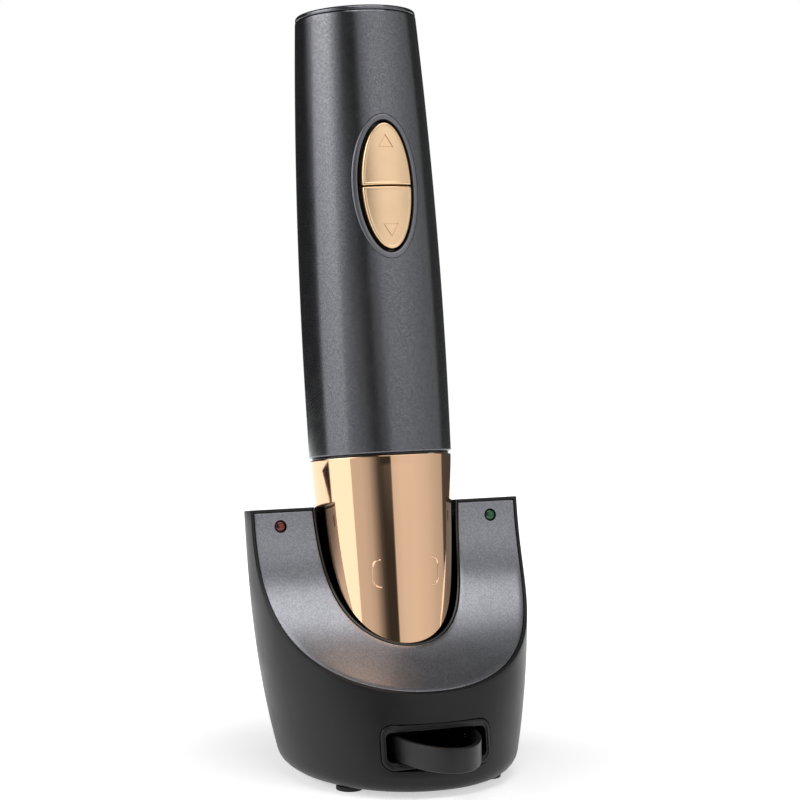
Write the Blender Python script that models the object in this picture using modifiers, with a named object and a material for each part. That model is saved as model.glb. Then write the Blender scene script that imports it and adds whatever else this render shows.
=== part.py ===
"""Electric wine opener standing in its charging base, with a foil cutter kept in the base.

The opener and the body of the base share one axis, which leans back from the vertical.
Most pieces are modelled in the leaning frame: its Z runs up the opener's axis, its -Y faces
the front, and its origin is where that axis meets the flat tops of the base's two ears.
The underside, its feet and the foil cutter's bay are modelled in the level frame, which has
the same X and Y origin and Z = 0 on the table.
"""

import math

import bmesh
import bpy
from mathutils import Matrix, Vector

MM = 0.001
LEAN = math.radians(10)
EAR_HEIGHT = 94.35 * MM  # table to the leaning frame's origin
CENTRE_Y = 13.7 * MM  # puts the whole object's box centrally over the origin

# Gaps
GAP = 0.3 * MM  # between pieces that touch
FINE_GAP = 0.15 * MM  # either side of the seam ring
RUN = 0.1 * MM  # radial, shaft in bearing

# Handle
HANDLE_RADIUS = 26.05 * MM
HANDLE_BELLY_Z = 52 * MM
HANDLE_BARREL_RADIUS = 1986 * MM
HANDLE_WALL = 2.2 * MM
HANDLE_TOP_Z = 178.9 * MM
SEAM_Z = 17.2 * MM
SEAM_WIDTH = 1.0 * MM
CAP_THICK = 1.7 * MM
CAP_ROUND = 1.0 * MM

# Sleeve and bottle guide
SLEEVE_TOP_RADIUS = 25.6 * MM
SLEEVE_FOOT_RADIUS = 22.2 * MM
SLEEVE_FOOT_Z = -64 * MM
SLEEVE_WALL = 1.2 * MM
NECK_RADIUS = 15.75 * MM
NECK_DEPTH = 26 * MM
CHAMBER_RADIUS = 13.0 * MM
GUIDE_WALL = 2.0 * MM
GUIDE_FLANGE = 2.7 * MM

# Buttons
BUTTON_Z = 112.8 * MM
BEZEL_HALF_WIDTH = 12.5 * MM
BEZEL_HALF_HEIGHT = 26.0 * MM
BEZEL_RING = 2.4 * MM
BEZEL_PROUD = 0.4 * MM
BUTTON_CLEARANCE = 0.9 * MM
BUTTON_PROUD = 1.2 * MM
BUTTON_SPLIT = 0.5 * MM
BUTTON_TRAVEL = 0.8 * MM
BUTTON_BACK_Y = -20.0 * MM
STEM_RADIUS = 2.0 * MM
STEM_OFFSET_Z = 10 * MM

# Battery
CELL_RADIUS = 7.1 * MM
CELL_LENGTH = 49 * MM
CELL_Z = 89.3 * MM
PACK_Y = 4.0 * MM

# Motor and gears
MOTOR_RADIUS = 13.85 * MM
MOTOR_Z = 47 * MM
MOTOR_LENGTH = 37.3 * MM
MOTOR_SHAFT_RADIUS = 1.15 * MM
GEAR_MODULE = 0.7 * MM
SUN_TEETH = 9
PLANET_TEETH = 15
RING_TEETH = SUN_TEETH + 2 * PLANET_TEETH
PLANETS = 3
PRESSURE_ANGLE = math.radians(25)
BACKLASH = 0.10 * MM
PLANET_WIDTH = 5.4 * MM
STAGE2_Z = 29.7 * MM
STAGE1_Z = 38.4 * MM
PIN_RADIUS = 1.25 * MM
CARRIER_RADIUS = 11.2 * MM
CARRIER_THICK = 2.0 * MM
GEAR_CASE_RADIUS = 16.8 * MM
GEAR_CASE_Z = 24.0 * MM
SPINDLE_RADIUS = 3.0 * MM
HUB_RADIUS = 7.0 * MM
HUB_Z = 13.5 * MM

# Worm
WORM_WIRE_RADIUS = 1.5 * MM
WORM_COIL_RADIUS = 3.3 * MM
WORM_PITCH = 8.6 * MM
WORM_TIP_Z = -47 * MM
WORM_COIL_TOP_Z = 9 * MM
WORM_POINTS_PER_TURN = 9

# Charging base
BASE_TOP_HALF_WIDTH = 51.0 * MM
BASE_FOOT_HALF_WIDTH = 41.0 * MM
BASE_WAIST = 2.64  # exponent of the narrowing towards the foot
BASE_CENTRE_Y = -1.4 * MM
BASE_FRONT_TOP = 40.0 * MM
BASE_FRONT_FOOT = 44.8 * MM
BASE_REAR_TOP = 44.0 * MM
BASE_REAR_FOOT = 40.0 * MM
BASE_SQUARENESS = 2.14  # exponent of the oval outline: 2 is an ellipse
BASE_SHAPE_DEPTH = 95 * MM  # where the foot sizes hold
BASE_LIFT = 1.8 * MM  # table to underside
BASE_HEEL = 6.5 * MM  # rounding of the bottom edge
BASE_WALL = 2.5 * MM
BASE_SIDES = 48

# Sloped front: it falls away as a power of the depth below the ears
FACE_START = 3.0 * MM
FACE_SWEEP = 31.9 * MM
FACE_SWEEP_DEPTH = 60 * MM
FACE_POWER = 2.34

# Trim and cup
TRIM_LIP = 1.3 * MM
TRIM_THICK = 1.6 * MM
WELL_RADIUS = 28.25 * MM  # at the leaning frame's origin
WELL_TAPER = 0.065  # radius lost for each unit of depth
CUP_WALL = 0.7 * MM
CUP_FLOOR = 2.2 * MM
LED_X = 40.2 * MM
LED_Z = -6.3 * MM
LED_RADIUS = 2.0 * MM

# Foil cutter and its bay, in the level frame
BAY_HALF_WIDTH = 18.4 * MM
BAY_LOW_Z = 12.9 * MM
BAY_HIGH_Z = 23.2 * MM
BAY_FRONT_Y = -56 * MM
BAY_DEPTH = 36 * MM
BAY_WALL = 1.8 * MM
BAY_FRAME_PROUD = 0.5 * MM
BAND_HALF_WIDTH = 16.0 * MM
BAND_HEIGHT = 8.8 * MM
BAND_THICK = 1.8 * MM
BAND_PROUD = 24 * MM
BAND_BEND = 10 * MM  # where the band starts to curve, behind the bay's front
ARM_LENGTH = BAY_DEPTH - 3 * MM  # leaves room behind the arms
WHEEL_RADIUS = 2.7 * MM
WHEEL_THICK = 0.7 * MM
WHEEL_SPACING = 18 * MM
AXLE_RADIUS = 0.7 * MM
BOSS_WIDTH = 3.6 * MM
BOSS_LENGTH = 7 * MM

# Underside
PLATE_INSET = 8.5 * MM
PLATE_THICK = 2.5 * MM
FOOT_RADIUS = 4.75 * MM
FRONT_FOOT = Vector((26.0, -38.6)) * MM
REAR_FOOT = Vector((17.0, 11.0)) * MM
POST_X = 22 * MM
POST_Y = 4 * MM
POST_RADIUS = 3.5 * MM
SCREW_RADIUS = 1.35 * MM
SCREW_HEAD = 3.0 * MM

# Charging parts
CHARGE_PIN_RADIUS = 1.0 * MM
CHARGE_RING = 18.2 * MM  # pins and contacts sit on this radius, behind the axis
CHARGE_ANGLE = math.radians(45)
CONTACT_RADIUS = 1.6 * MM
CONTACT_THICK = 0.6 * MM
BOARD_THICK = 1.2 * MM
BOARD_DROP = 3.5 * MM
INLET_Z = 17 * MM
INLET_RADIUS = 4.0 * MM
INLET_BORE = 2.9 * MM


# ---------------------------------------------------------------- scene, finishes and frames

def clear_scene():
    for obj in list(bpy.data.objects):
        bpy.data.objects.remove(obj, do_unlink=True)


def new_collection(name):
    collection = bpy.data.collections.new(name)
    bpy.context.scene.collection.children.link(collection)
    return collection


def new_frame(name, location, turn_x=0.0):
    frame = bpy.data.objects.new(name, None)
    frame.location = location
    frame.rotation_euler.x = turn_x
    PARTS.objects.link(frame)
    return frame


def finish(name, colour, roughness, metallic=0.0, glow=0.0):
    material = bpy.data.materials.new(name)
    material.use_nodes = True
    shader = material.node_tree.nodes["Principled BSDF"]
    shader.inputs["Base Color"].default_value = (*colour, 1)
    shader.inputs["Roughness"].default_value = roughness
    shader.inputs["Metallic"].default_value = metallic
    shader.inputs["Emission Color"].default_value = (*colour, 1)
    shader.inputs["Emission Strength"].default_value = glow
    return material


clear_scene()
PARTS = new_collection("electric_wine_opener")
CUTTERS = new_collection("cutters")
LEANING = new_frame("leaning_frame", (0, CENTRE_Y, EAR_HEIGHT), -LEAN)
LEVEL = new_frame("level_frame", (0, CENTRE_Y, 0))

GRAPHITE = finish("graphite_paint", (0.10, 0.10, 0.11), 0.35, 0.7)
ROSE_GOLD = finish("rose_gold_plate", (0.80, 0.50, 0.33), 0.08, 1.0)
SATIN_ROSE = finish("satin_rose_gold", (0.85, 0.58, 0.38), 0.28, 1.0)
BLACK = finish("black_moulded_plastic", (0.02, 0.02, 0.022), 0.5)
GREY_TRIM = finish("metallic_grey_paint", (0.20, 0.20, 0.21), 0.35, 0.6)
INNER = finish("natural_moulded_plastic", (0.55, 0.55, 0.52), 0.5)
RUBBER = finish("black_rubber", (0.03, 0.03, 0.03), 0.8)
STEEL = finish("steel", (0.55, 0.55, 0.56), 0.25, 1.0)
BRASS = finish("brass", (0.70, 0.52, 0.25), 0.3, 1.0)
BOARD = finish("circuit_board", (0.03, 0.16, 0.07), 0.5)
CELL = finish("cell_wrap", (0.05, 0.20, 0.10), 0.4)
RED = finish("red_lens", (0.35, 0.01, 0.01), 0.15)
GREEN = finish("green_lens", (0.01, 0.15, 0.05), 0.15)


# ---------------------------------------------------------------- making solids

def place(name, mesh, frame, material=None, at=(0, 0, 0)):
    """A node with its own material, or a hidden cutter where it has no material."""
    obj = bpy.data.objects.new(name, mesh)
    obj.parent = frame
    obj.location = at
    if material is None:
        CUTTERS.objects.link(obj)
        obj.hide_render = True
        obj.display_type = "WIRE"
    else:
        mesh.materials.append(material)
        PARTS.objects.link(obj)
        mesh.shade_smooth()
        mesh.set_sharp_from_angle(angle=math.radians(35))
    return obj


def to_mesh(name, bm):
    bmesh.ops.recalc_face_normals(bm, faces=bm.faces)
    mesh = bpy.data.meshes.new(name)
    bm.to_mesh(mesh)
    bm.free()
    return mesh


def box(name, low, high, frame, material=None):
    bm = bmesh.new()
    size = Vector(high) - Vector(low)
    middle = (Vector(high) + Vector(low)) / 2
    bmesh.ops.create_cube(bm, size=1, matrix=Matrix.Translation(middle) @ Matrix.Diagonal((*size, 1)))
    return place(name, to_mesh(name, bm), frame, material)


def cylinder(name, radius, low, high, frame, material=None, centre=(0, 0), axis="Z", sides=24, at=(0, 0, 0)):
    """A cylinder from low to high along axis, about centre in the two other axes."""
    bm = bmesh.new()
    bmesh.ops.create_cone(
        bm, cap_ends=True, segments=sides, radius1=radius, radius2=radius, depth=high - low,
        matrix=Matrix.Translation((0, 0, (low + high) / 2)),
    )
    turn = {"Z": Matrix.Identity(4), "Y": Matrix.Rotation(-math.pi / 2, 4, "X")}[axis]
    shift = Vector((centre[0], centre[1], 0)) if axis == "Z" else Vector((centre[0], 0, centre[1]))
    bmesh.ops.transform(bm, matrix=Matrix.Translation(shift) @ turn, verts=bm.verts)
    return place(name, to_mesh(name, bm), frame, material, at)


def turned(name, profile, frame, material=None, sides=36, ring=False, at=(0, 0, 0)):
    """A turned shape from (radius, z) points that run down its outer side; ring closes the loop."""
    bm = bmesh.new()
    points = [bm.verts.new((radius, 0, z)) for radius, z in profile]
    for first, second in zip(points, points[1:] + points[:1] if ring else points[1:]):
        bm.edges.new((first, second))
    mesh = bpy.data.meshes.new(name)
    bm.to_mesh(mesh)
    bm.free()
    obj = place(name, mesh, frame, material, at)
    screw = obj.modifiers.new("turn", "SCREW")
    screw.axis = "Z"
    screw.steps = sides
    screw.render_steps = sides
    screw.use_merge_vertices = True
    screw.merge_threshold = 0.00001
    screw.use_smooth_shade = material is not None
    return obj


def prism(name, outline, low, high, frame, material=None, at=(0, 0, 0), hole=None):
    """A flat outline raised from low to high along Z, with an optional hole of a given outline."""
    bm = bmesh.new()
    loops = []
    for points in filter(None, (outline, hole)):
        corners = [bm.verts.new((x, y, low)) for x, y in points]
        loops += [bm.edges.new(pair) for pair in zip(corners, corners[1:] + corners[:1])]
    flat = bmesh.ops.triangle_fill(bm, edges=loops, use_beauty=True)["geom"]
    faces = [item for item in flat if isinstance(item, bmesh.types.BMFace)]
    raised = bmesh.ops.extrude_face_region(bm, geom=faces, use_keep_orig=True)["geom"]
    tops = [item for item in raised if isinstance(item, bmesh.types.BMVert)]
    bmesh.ops.translate(bm, verts=tops, vec=(0, 0, high - low))
    return place(name, to_mesh(name, bm), frame, material, at)


def skinned(name, rings, frame, material=None):
    """A closed solid through rings of equally many points, from the first ring to the last."""
    bm = bmesh.new()
    loops = [[bm.verts.new(point) for point in ring] for ring in rings]
    for upper, lower in zip(loops, loops[1:]):
        for k in range(len(upper)):
            after = (k + 1) % len(upper)
            bm.faces.new((upper[k], upper[after], lower[after], lower[k]))
    bm.faces.new(loops[0])
    bm.faces.new(loops[-1])
    return place(name, to_mesh(name, bm), frame, material)


def swept_side(name, outline, half_width, frame, material=None):
    """An outline in (y, z) carried from -half_width to half_width along X."""
    rings = [[(x, y, z) for y, z in outline] for x in (-half_width, half_width)]
    return skinned(name, rings, frame, material)


def combine(obj, operation, tools):
    for tool in tools:
        modifier = obj.modifiers.new(f"{operation.lower()}_{tool.name}", "BOOLEAN")
        modifier.operation = operation
        modifier.object = tool
    return obj


def cut(obj, *tools):
    return combine(obj, "DIFFERENCE", tools)


def join(obj, *tools):
    return combine(obj, "UNION", tools)


def keep(obj, *tools):
    return combine(obj, "INTERSECT", tools)


def spaced(low, high, count):
    return [low + (high - low) * k / (count - 1) for k in range(count)]


def ellipse(half_width, half_height, sides=32):
    turn = 2 * math.pi / sides
    return [(half_width * math.cos(k * turn), half_height * math.sin(k * turn)) for k in range(sides)]


# ---------------------------------------------------------------- shapes that several pieces share

def handle_radius(z):
    """The handle's barrelled side is one long arc."""
    return HANDLE_RADIUS - (z - HANDLE_BELLY_Z) ** 2 / (2 * HANDLE_BARREL_RADIUS)


def sleeve_radius(z):
    share = (SEAM_Z - z) / (SEAM_Z - SLEEVE_FOOT_Z)
    return SLEEVE_TOP_RADIUS + (SLEEVE_FOOT_RADIUS - SLEEVE_TOP_RADIUS) * share


def outline_point(angle, z, inset):
    """A point of the base's oval at height z; angle 0 is +X and a quarter turn is the front."""
    share = max(0.0, min(1.2, -z / BASE_SHAPE_DEPTH))
    wide = BASE_TOP_HALF_WIDTH + (BASE_FOOT_HALF_WIDTH - BASE_TOP_HALF_WIDTH) * share**BASE_WAIST
    front = BASE_FRONT_TOP + (BASE_FRONT_FOOT - BASE_FRONT_TOP) * share
    rear = BASE_REAR_TOP + (BASE_REAR_FOOT - BASE_REAR_TOP) * share
    across, along = math.cos(angle), math.sin(angle)
    deep = front if along > 0 else rear
    power = 2 / BASE_SQUARENESS
    x = (wide - inset) * math.copysign(abs(across) ** power, across)
    y = BASE_CENTRE_Y - (deep - inset) * math.copysign(abs(along) ** power, along)
    return x, y


def floor_z(y, height):
    """The leaning frame's z where a point at y stands at this height over the table."""
    return y * math.tan(LEAN) - (EAR_HEIGHT - height) / math.cos(LEAN)


def base_ring(share, inset, lift=0.0, start=0.0):
    """A ring of the base's side: share 0 is level with start, share 1 follows the underside."""
    ring = []
    for k in range(BASE_SIDES):
        angle = 2 * math.pi * k / BASE_SIDES
        y = BASE_CENTRE_Y
        for _ in range(5):
            z = start + share * (floor_z(y, BASE_LIFT) - start) + lift
            x, y = outline_point(angle, z, inset)
        ring.append((x, y, z))
    return ring


def base_body(name, inset, start=0.0, heel_from=0.0, material=None, steps=4):
    """The base's whole form, drawn in by inset, with its bottom edge rounded."""
    rings = [base_ring(share, inset, start=start) for share in spaced(0, 0.8, steps)]
    for turn in spaced(0, math.pi / 2, steps):
        drawn_in = BASE_HEEL * (1 - math.cos(turn))
        rings.append(base_ring(1, inset + drawn_in, BASE_HEEL * (1 - math.sin(turn)) + heel_from))
    return skinned(name, rings, LEANING, material)


def face_y(z):
    return -(FACE_START + FACE_SWEEP * (max(0.0, -z) / FACE_SWEEP_DEPTH) ** FACE_POWER)


def face_curve(depth, top=3 * MM, bottom=-84 * MM, count=13):
    """(y, z) points of the sloped front, moved into the base by depth, square to the surface."""
    step = 0.01 * MM
    curve = []
    for z in spaced(top, bottom, count):
        slope = (face_y(z - step) - face_y(z + step)) / (2 * step)
        length = math.hypot(1, slope)
        curve.append((face_y(z) + depth / length, z - depth * slope * -1 / length))
    return curve


def front_block(name, depth):
    """Everything in front of the sloped face, moved into the base by depth."""
    curve = face_curve(depth)
    far = -90 * MM
    outline = [(far, curve[0][1]), *curve, (far, curve[-1][1])]
    return swept_side(name, outline, 70 * MM, LEANING)


def well_radius(z):
    """The radius of the trim's inner edge and of the hole in the shell at height z."""
    return WELL_RADIUS + WELL_TAPER * z


def well_cone(name, slack=0.0):
    high, low = 20 * MM, -80 * MM
    profile = [(0, high), (well_radius(high) - slack, high), (well_radius(low) - slack, low), (0, low)]
    return turned(name, profile, LEANING, sides=48)


def trim_body(name, slack, material=None):
    """The U inlay, grown by slack for the recess that holds it."""
    depth = TRIM_THICK + slack
    outer, inner = face_curve(-slack), face_curve(depth)
    band = swept_side(name, outer + inner[::-1], 70 * MM, LEANING, material)
    keep(band, base_body(f"{name}_outline", TRIM_LIP - slack))
    high = box(f"{name}_top", (-70 * MM, -20 * MM, -TRIM_LIP + slack), (70 * MM, 20 * MM, 12 * MM), LEANING)
    bore = well_cone(f"{name}_bore", slack)
    return cut(band, high, bore)


# ---------------------------------------------------------------- charging base

def bay_span(grow):
    """Low and high corners of the bay's front frame, grown on its four sides."""
    side = BAY_HALF_WIDTH + BAY_WALL + grow
    return (-side, BAY_LOW_Z - BAY_WALL - 0.8 * MM - grow), (side, BAY_HIGH_Z + BAY_WALL + 0.7 * MM + grow)


def plate_rim(inset):
    """The level frame's (x, y) outline of the base's underside, drawn in by inset."""
    return [(x, y * math.cos(LEAN) + z * math.sin(LEAN)) for x, y, z in base_ring(1, inset)]


def make_base_shell():
    shell = base_body("base_shell", 0.0, material=BLACK)
    hollow = base_body("shell_hollow", BASE_WALL, start=-BASE_WALL, heel_from=BASE_WALL, steps=3)
    cut(hollow, front_block("hollow_front", TRIM_THICK + GAP + 2.0 * MM))
    mouth = prism("shell_mouth", plate_rim(PLATE_INSET), -1 * MM, BASE_LIFT + 8 * MM, LEVEL)
    low, high = bay_span(GAP)
    slot = box("bay_slot", (low[0], BAY_FRONT_Y - 30 * MM, low[1]), (high[0], BAY_FRONT_Y + 12 * MM, high[1]), LEVEL)
    inlet = cylinder("inlet_hole", INLET_RADIUS + GAP, 15 * MM, 45 * MM, LEVEL, centre=(0, INLET_Z), axis="Y")
    cut(shell, front_block("shell_front", 0.0), trim_body("trim_recess", GAP), hollow, mouth, slot)
    cut(shell, well_cone("well_bore"), inlet, *led_holes())


def led_holes():
    return [
        cylinder(f"led_hole_{side}", LED_RADIUS + GAP, -12 * MM, 12 * MM, LEANING,
                 centre=(sign * LED_X, LED_Z), axis="Y", sides=20)
        for side, sign in (("left", -1), ("right", 1))
    ]


def make_trim():
    cut(trim_body("base_trim", 0.0, GREY_TRIM), *led_holes())


def make_cup():
    """The cup's bore narrows with the sleeve; its rim follows the sloped front."""
    floor = SLEEVE_FOOT_Z - GAP
    bottom = floor - CUP_FLOOR
    inner = GAP + CUP_WALL
    profile = [
        (0, floor), (well_radius(floor) - inner, floor), (well_radius(0) - inner, 0),
        (well_radius(0) - GAP, 0), (well_radius(bottom) - GAP, bottom), (0, bottom),
    ]
    cup = turned("well_cup", profile, LEANING, BLACK, sides=44)
    cut(cup, front_block("cup_front", 0.0))
    for side, sign in (("left", -1), ("right", 1)):
        x, y = charge_place(sign)
        cut(cup, cylinder(f"pin_hole_{side}", CHARGE_PIN_RADIUS + 0.25 * MM, bottom - 2 * MM,
                          floor + 2 * MM, LEANING, centre=(x, y), sides=16))
        foot = BASE_LIFT + PLATE_THICK + GAP
        spot = screw_place(sign)
        top = EAR_HEIGHT + bottom * math.cos(LEAN)
        join(cup, cylinder(f"screw_post_{side}", POST_RADIUS, foot, top + 1 * MM, LEVEL, centre=spot, sides=16))
        cut(cup, cylinder(f"post_bore_{side}", SCREW_RADIUS + RUN, foot - 2 * MM, foot + 12 * MM, LEVEL,
                          centre=spot, sides=12))


def charge_place(sign):
    return sign * CHARGE_RING * math.cos(CHARGE_ANGLE), CHARGE_RING * math.sin(CHARGE_ANGLE)


def screw_place(sign):
    bottom = SLEEVE_FOOT_Z - GAP - CUP_FLOOR
    return sign * POST_X, POST_Y * math.cos(LEAN) + bottom * math.sin(LEAN)


def make_underside():
    low, high = BASE_LIFT, BASE_LIFT + PLATE_THICK
    plate = prism("base_plate", plate_rim(PLATE_INSET + GAP), low, high, LEVEL, BLACK)
    for side, sign in (("left", -1), ("right", 1)):
        spot = screw_place(sign)
        seat = low + 1.7 * MM
        cut(plate, cylinder(f"screw_sink_{side}", SCREW_HEAD + GAP, low - 1 * MM, seat, LEVEL, centre=spot))
        cut(plate, cylinder(f"screw_way_{side}", SCREW_RADIUS + GAP, low, high + 1 * MM, LEVEL,
                            centre=spot, sides=12))
        profile = [
            (0, high + 8 * MM), (SCREW_RADIUS * 0.5, high + 8 * MM), (SCREW_RADIUS, high + 7 * MM),
            (SCREW_RADIUS, seat - GAP), (SCREW_HEAD, seat - GAP), (SCREW_HEAD * 0.9, low + 0.1 * MM),
            (0, low + 0.1 * MM),
        ]
        turned(f"base_screw_{side}", profile, LEVEL, STEEL, sides=12, at=(*spot, 0))
    spots = [(sign * spot.x, spot.y) for spot in (FRONT_FOOT, REAR_FOOT) for sign in (-1, 1)]
    for number, spot in enumerate(spots, 1):
        profile = [
            (0, low - FINE_GAP), (FOOT_RADIUS, low - FINE_GAP), (FOOT_RADIUS, 0.5 * MM),
            (FOOT_RADIUS - 0.5 * MM, 0), (0, 0),
        ]
        turned(f"base_foot_{number}", profile, LEVEL, RUBBER, sides=16, at=(*spot, 0))


def make_charging():
    floor = SLEEVE_FOOT_Z - GAP
    under = floor - CUP_FLOOR
    board_top = under - BOARD_DROP
    width, depth = 2 * charge_place(1)[0] + 8 * MM, 14 * MM
    middle_y = charge_place(1)[1]
    board = box("charge_board", (-width / 2, middle_y - depth / 2, board_top - BOARD_THICK),
                (width / 2, middle_y + depth / 2, board_top), LEANING, BOARD)
    tip = SLEEVE_FOOT_Z - FINE_GAP
    for side, sign in (("left", -1), ("right", 1)):
        spot = charge_place(sign)
        cut(board, cylinder(f"board_hole_{side}", 0.95 * MM, board_top - 3 * MM, board_top + 1 * MM, LEANING,
                            centre=spot, sides=12))
        profile = [
            (0, tip), (CHARGE_PIN_RADIUS * 0.7, tip), (CHARGE_PIN_RADIUS, tip - 0.3 * MM),
            (CHARGE_PIN_RADIUS, under - GAP), (1.9 * MM, under - GAP), (1.9 * MM, under - 0.9 * MM),
            (0.7 * MM, under - 0.9 * MM), (0.7 * MM, board_top - 2.4 * MM), (0, board_top - 2.4 * MM),
        ]
        turned(f"charge_pin_{side}", profile, LEANING, BRASS, sides=12, at=(*spot, 0))
        disc = [(0, SLEEVE_FOOT_Z + CONTACT_THICK), (CONTACT_RADIUS, SLEEVE_FOOT_Z + CONTACT_THICK),
                (CONTACT_RADIUS, SLEEVE_FOOT_Z), (0, SLEEVE_FOOT_Z)]
        turned(f"charge_contact_{side}", disc, LEANING, STEEL, sides=16, at=(*spot, 0))
    for name, sign, lens in (("led_red", -1, RED), ("led_green", 1, GREEN)):
        front = face_y(LED_Z) - 0.3 * MM
        led = cylinder(name, LED_RADIUS, front, 3 * MM, LEANING, lens, centre=(sign * LED_X, LED_Z), axis="Y",
                       sides=12)
        bevel = led.modifiers.new("dome", "BEVEL")
        bevel.width = 0.7 * MM
        bevel.segments = 1
        bevel.limit_method = "ANGLE"


def rear_wall_y(height):
    """The level frame's y of the base's back at this height over the table."""
    y = BASE_CENTRE_Y
    for _ in range(5):
        z = floor_z(y, height)
        y = outline_point(-math.pi / 2, z, 0)[1]
    return y * math.cos(LEAN) + z * math.sin(LEAN)


def make_inlet():
    back = rear_wall_y(INLET_Z)
    deep = 12 * MM
    pin = 0.9 * MM
    profile = [
        (0, 0), (pin, 0), (pin, 1.5 * MM - deep), (INLET_BORE, 1.5 * MM - deep), (INLET_BORE, 0.3 * MM),
        (INLET_RADIUS, 0.3 * MM), (INLET_RADIUS, -deep), (0, -deep),
    ]
    inlet = turned("dc_inlet", profile, LEVEL, BLACK, sides=16, at=(0, back, INLET_Z))
    inlet.rotation_euler.x = -math.pi / 2


# ---------------------------------------------------------------- foil cutter

def make_bay():
    low, high = bay_span(0.0)
    back = BAY_FRONT_Y + BAY_DEPTH
    bay = box("cutter_bay", (low[0], BAY_FRONT_Y - 25 * MM, low[1]), (high[0], back + BAY_WALL, high[1]), LEVEL, BLACK)
    keep(bay, base_body("bay_outline", -BAY_FRAME_PROUD))
    cut(bay, box("bay_room", (-BAY_HALF_WIDTH, BAY_FRONT_Y - 35 * MM, BAY_LOW_Z), (BAY_HALF_WIDTH, back, BAY_HIGH_Z), LEVEL))


def band_path(half_width, nose_y, end_y, square=2.0, count=15):
    """Half a squared oval round the nose, with its straight ends running back to end_y."""
    start_y = BAY_FRONT_Y + BAND_BEND
    path = [(-half_width, end_y)]
    for turn in spaced(0, math.pi, count):
        across, along = math.cos(turn), math.sin(turn)
        x = -half_width * math.copysign(abs(across) ** (2 / square), across)
        path.append((x, start_y - (start_y - nose_y) * abs(along) ** (2 / square)))
    return [*path, (half_width, end_y)]


def wheel_places():
    """Centres of the four discs, two on each arm."""
    middle = BAY_FRONT_Y + ARM_LENGTH - BOSS_LENGTH / 2 - WHEEL_SPACING / 2
    x = BAY_HALF_WIDTH - GAP - WHEEL_RADIUS
    return [(sx * x, middle + sy * WHEEL_SPACING / 2) for sx in (-1, 1) for sy in (-1, 1)]


def make_foil_cutter():
    low = BAY_LOW_Z + GAP
    high = low + BAND_HEIGHT
    middle = (low + high) / 2
    nose, end = BAY_FRONT_Y - BAND_PROUD, BAY_FRONT_Y + ARM_LENGTH
    outside = band_path(BAND_HALF_WIDTH, nose, end)
    inside = band_path(BAND_HALF_WIDTH - BAND_THICK, nose + BAND_THICK, end)
    band = prism("cutter_frame", outside + inside[::-1], low, high, LEVEL, BLACK)
    slot = WHEEL_THICK / 2 + 0.35 * MM
    for number, (x, y) in enumerate(wheel_places(), 1):
        outer = math.copysign(BAY_HALF_WIDTH - GAP, x)
        inner = outer - math.copysign(BOSS_WIDTH, x)
        low_x, high_x = sorted((outer, inner))
        half = BOSS_LENGTH / 2
        join(band, box(f"boss_{number}", (low_x, y - half, low), (high_x, y + half, high), LEVEL))
        cut(band, box(f"disc_slot_{number}", (low_x - 3 * MM, y - WHEEL_RADIUS - GAP, middle - slot),
                      (high_x + 3 * MM, y + WHEEL_RADIUS + GAP, middle + slot), LEVEL))
        cut(band, cylinder(f"axle_hole_{number}", AXLE_RADIUS + RUN, low + 1 * MM, high + 1 * MM, LEVEL,
                           centre=(x, y), sides=12))
        cylinder(f"cutter_axle_{number}", AXLE_RADIUS, low + 1.3 * MM, high - 0.3 * MM, LEVEL, STEEL,
                 centre=(x, y), sides=12)
        edge, half_thick, bore = WHEEL_RADIUS, WHEEL_THICK / 2, AXLE_RADIUS + RUN
        rim = [(bore, half_thick), (edge - 0.7 * MM, half_thick), (edge, 0), (edge - 0.7 * MM, -half_thick),
               (bore, -half_thick)]
        turned(f"cutter_wheel_{number}", rim, LEVEL, STEEL, sides=16, ring=True, at=(x, y, middle))


# ---------------------------------------------------------------- opener: casing

def make_casing():
    low, high = SEAM_Z + SEAM_WIDTH / 2, HANDLE_TOP_Z - CAP_THICK - GAP
    outside = [(handle_radius(z), z) for z in spaced(high, low, 7)]
    inside = [(radius - HANDLE_WALL, z) for radius, z in outside[::-2]]
    shell = turned("handle_shell", outside + inside, LEANING, GRAPHITE, ring=True)
    cut(shell, oval_cutter("button_opening", BEZEL_HALF_WIDTH + GAP, BEZEL_HALF_HEIGHT + GAP, -35 * MM, -10 * MM))

    edge = handle_radius(HANDLE_TOP_Z)
    rounding = [
        (edge - CAP_ROUND * (1 - math.sin(turn)), HANDLE_TOP_Z - CAP_ROUND * (1 - math.cos(turn)))
        for turn in spaced(0, math.pi / 2, 3)
    ]
    spigot = handle_radius(high) - HANDLE_WALL - GAP
    turned("top_cap", [
        (0, HANDLE_TOP_Z), *rounding, (edge, HANDLE_TOP_Z - CAP_THICK), (spigot, HANDLE_TOP_Z - CAP_THICK),
        (spigot, high - 4 * MM), (0, high - 4 * MM),
    ], LEANING, GRAPHITE)

    half = SEAM_WIDTH / 2 - FINE_GAP
    outer, inner = SLEEVE_TOP_RADIUS - 0.8 * MM, SLEEVE_TOP_RADIUS - 2.2 * MM
    turned("seam_ring", [
        (outer, SEAM_Z + half), (outer, SEAM_Z - half), (inner, SEAM_Z - half), (inner, SEAM_Z + half),
    ], LEANING, BLACK, ring=True)

    top = SEAM_Z - SEAM_WIDTH / 2
    outside = [(sleeve_radius(z), z) for z in (top, SLEEVE_FOOT_Z)]
    inside = [(radius - SLEEVE_WALL, z) for radius, z in outside[::-1]]
    turned("lower_sleeve", outside + inside, LEANING, ROSE_GOLD, sides=44, ring=True)


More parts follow.
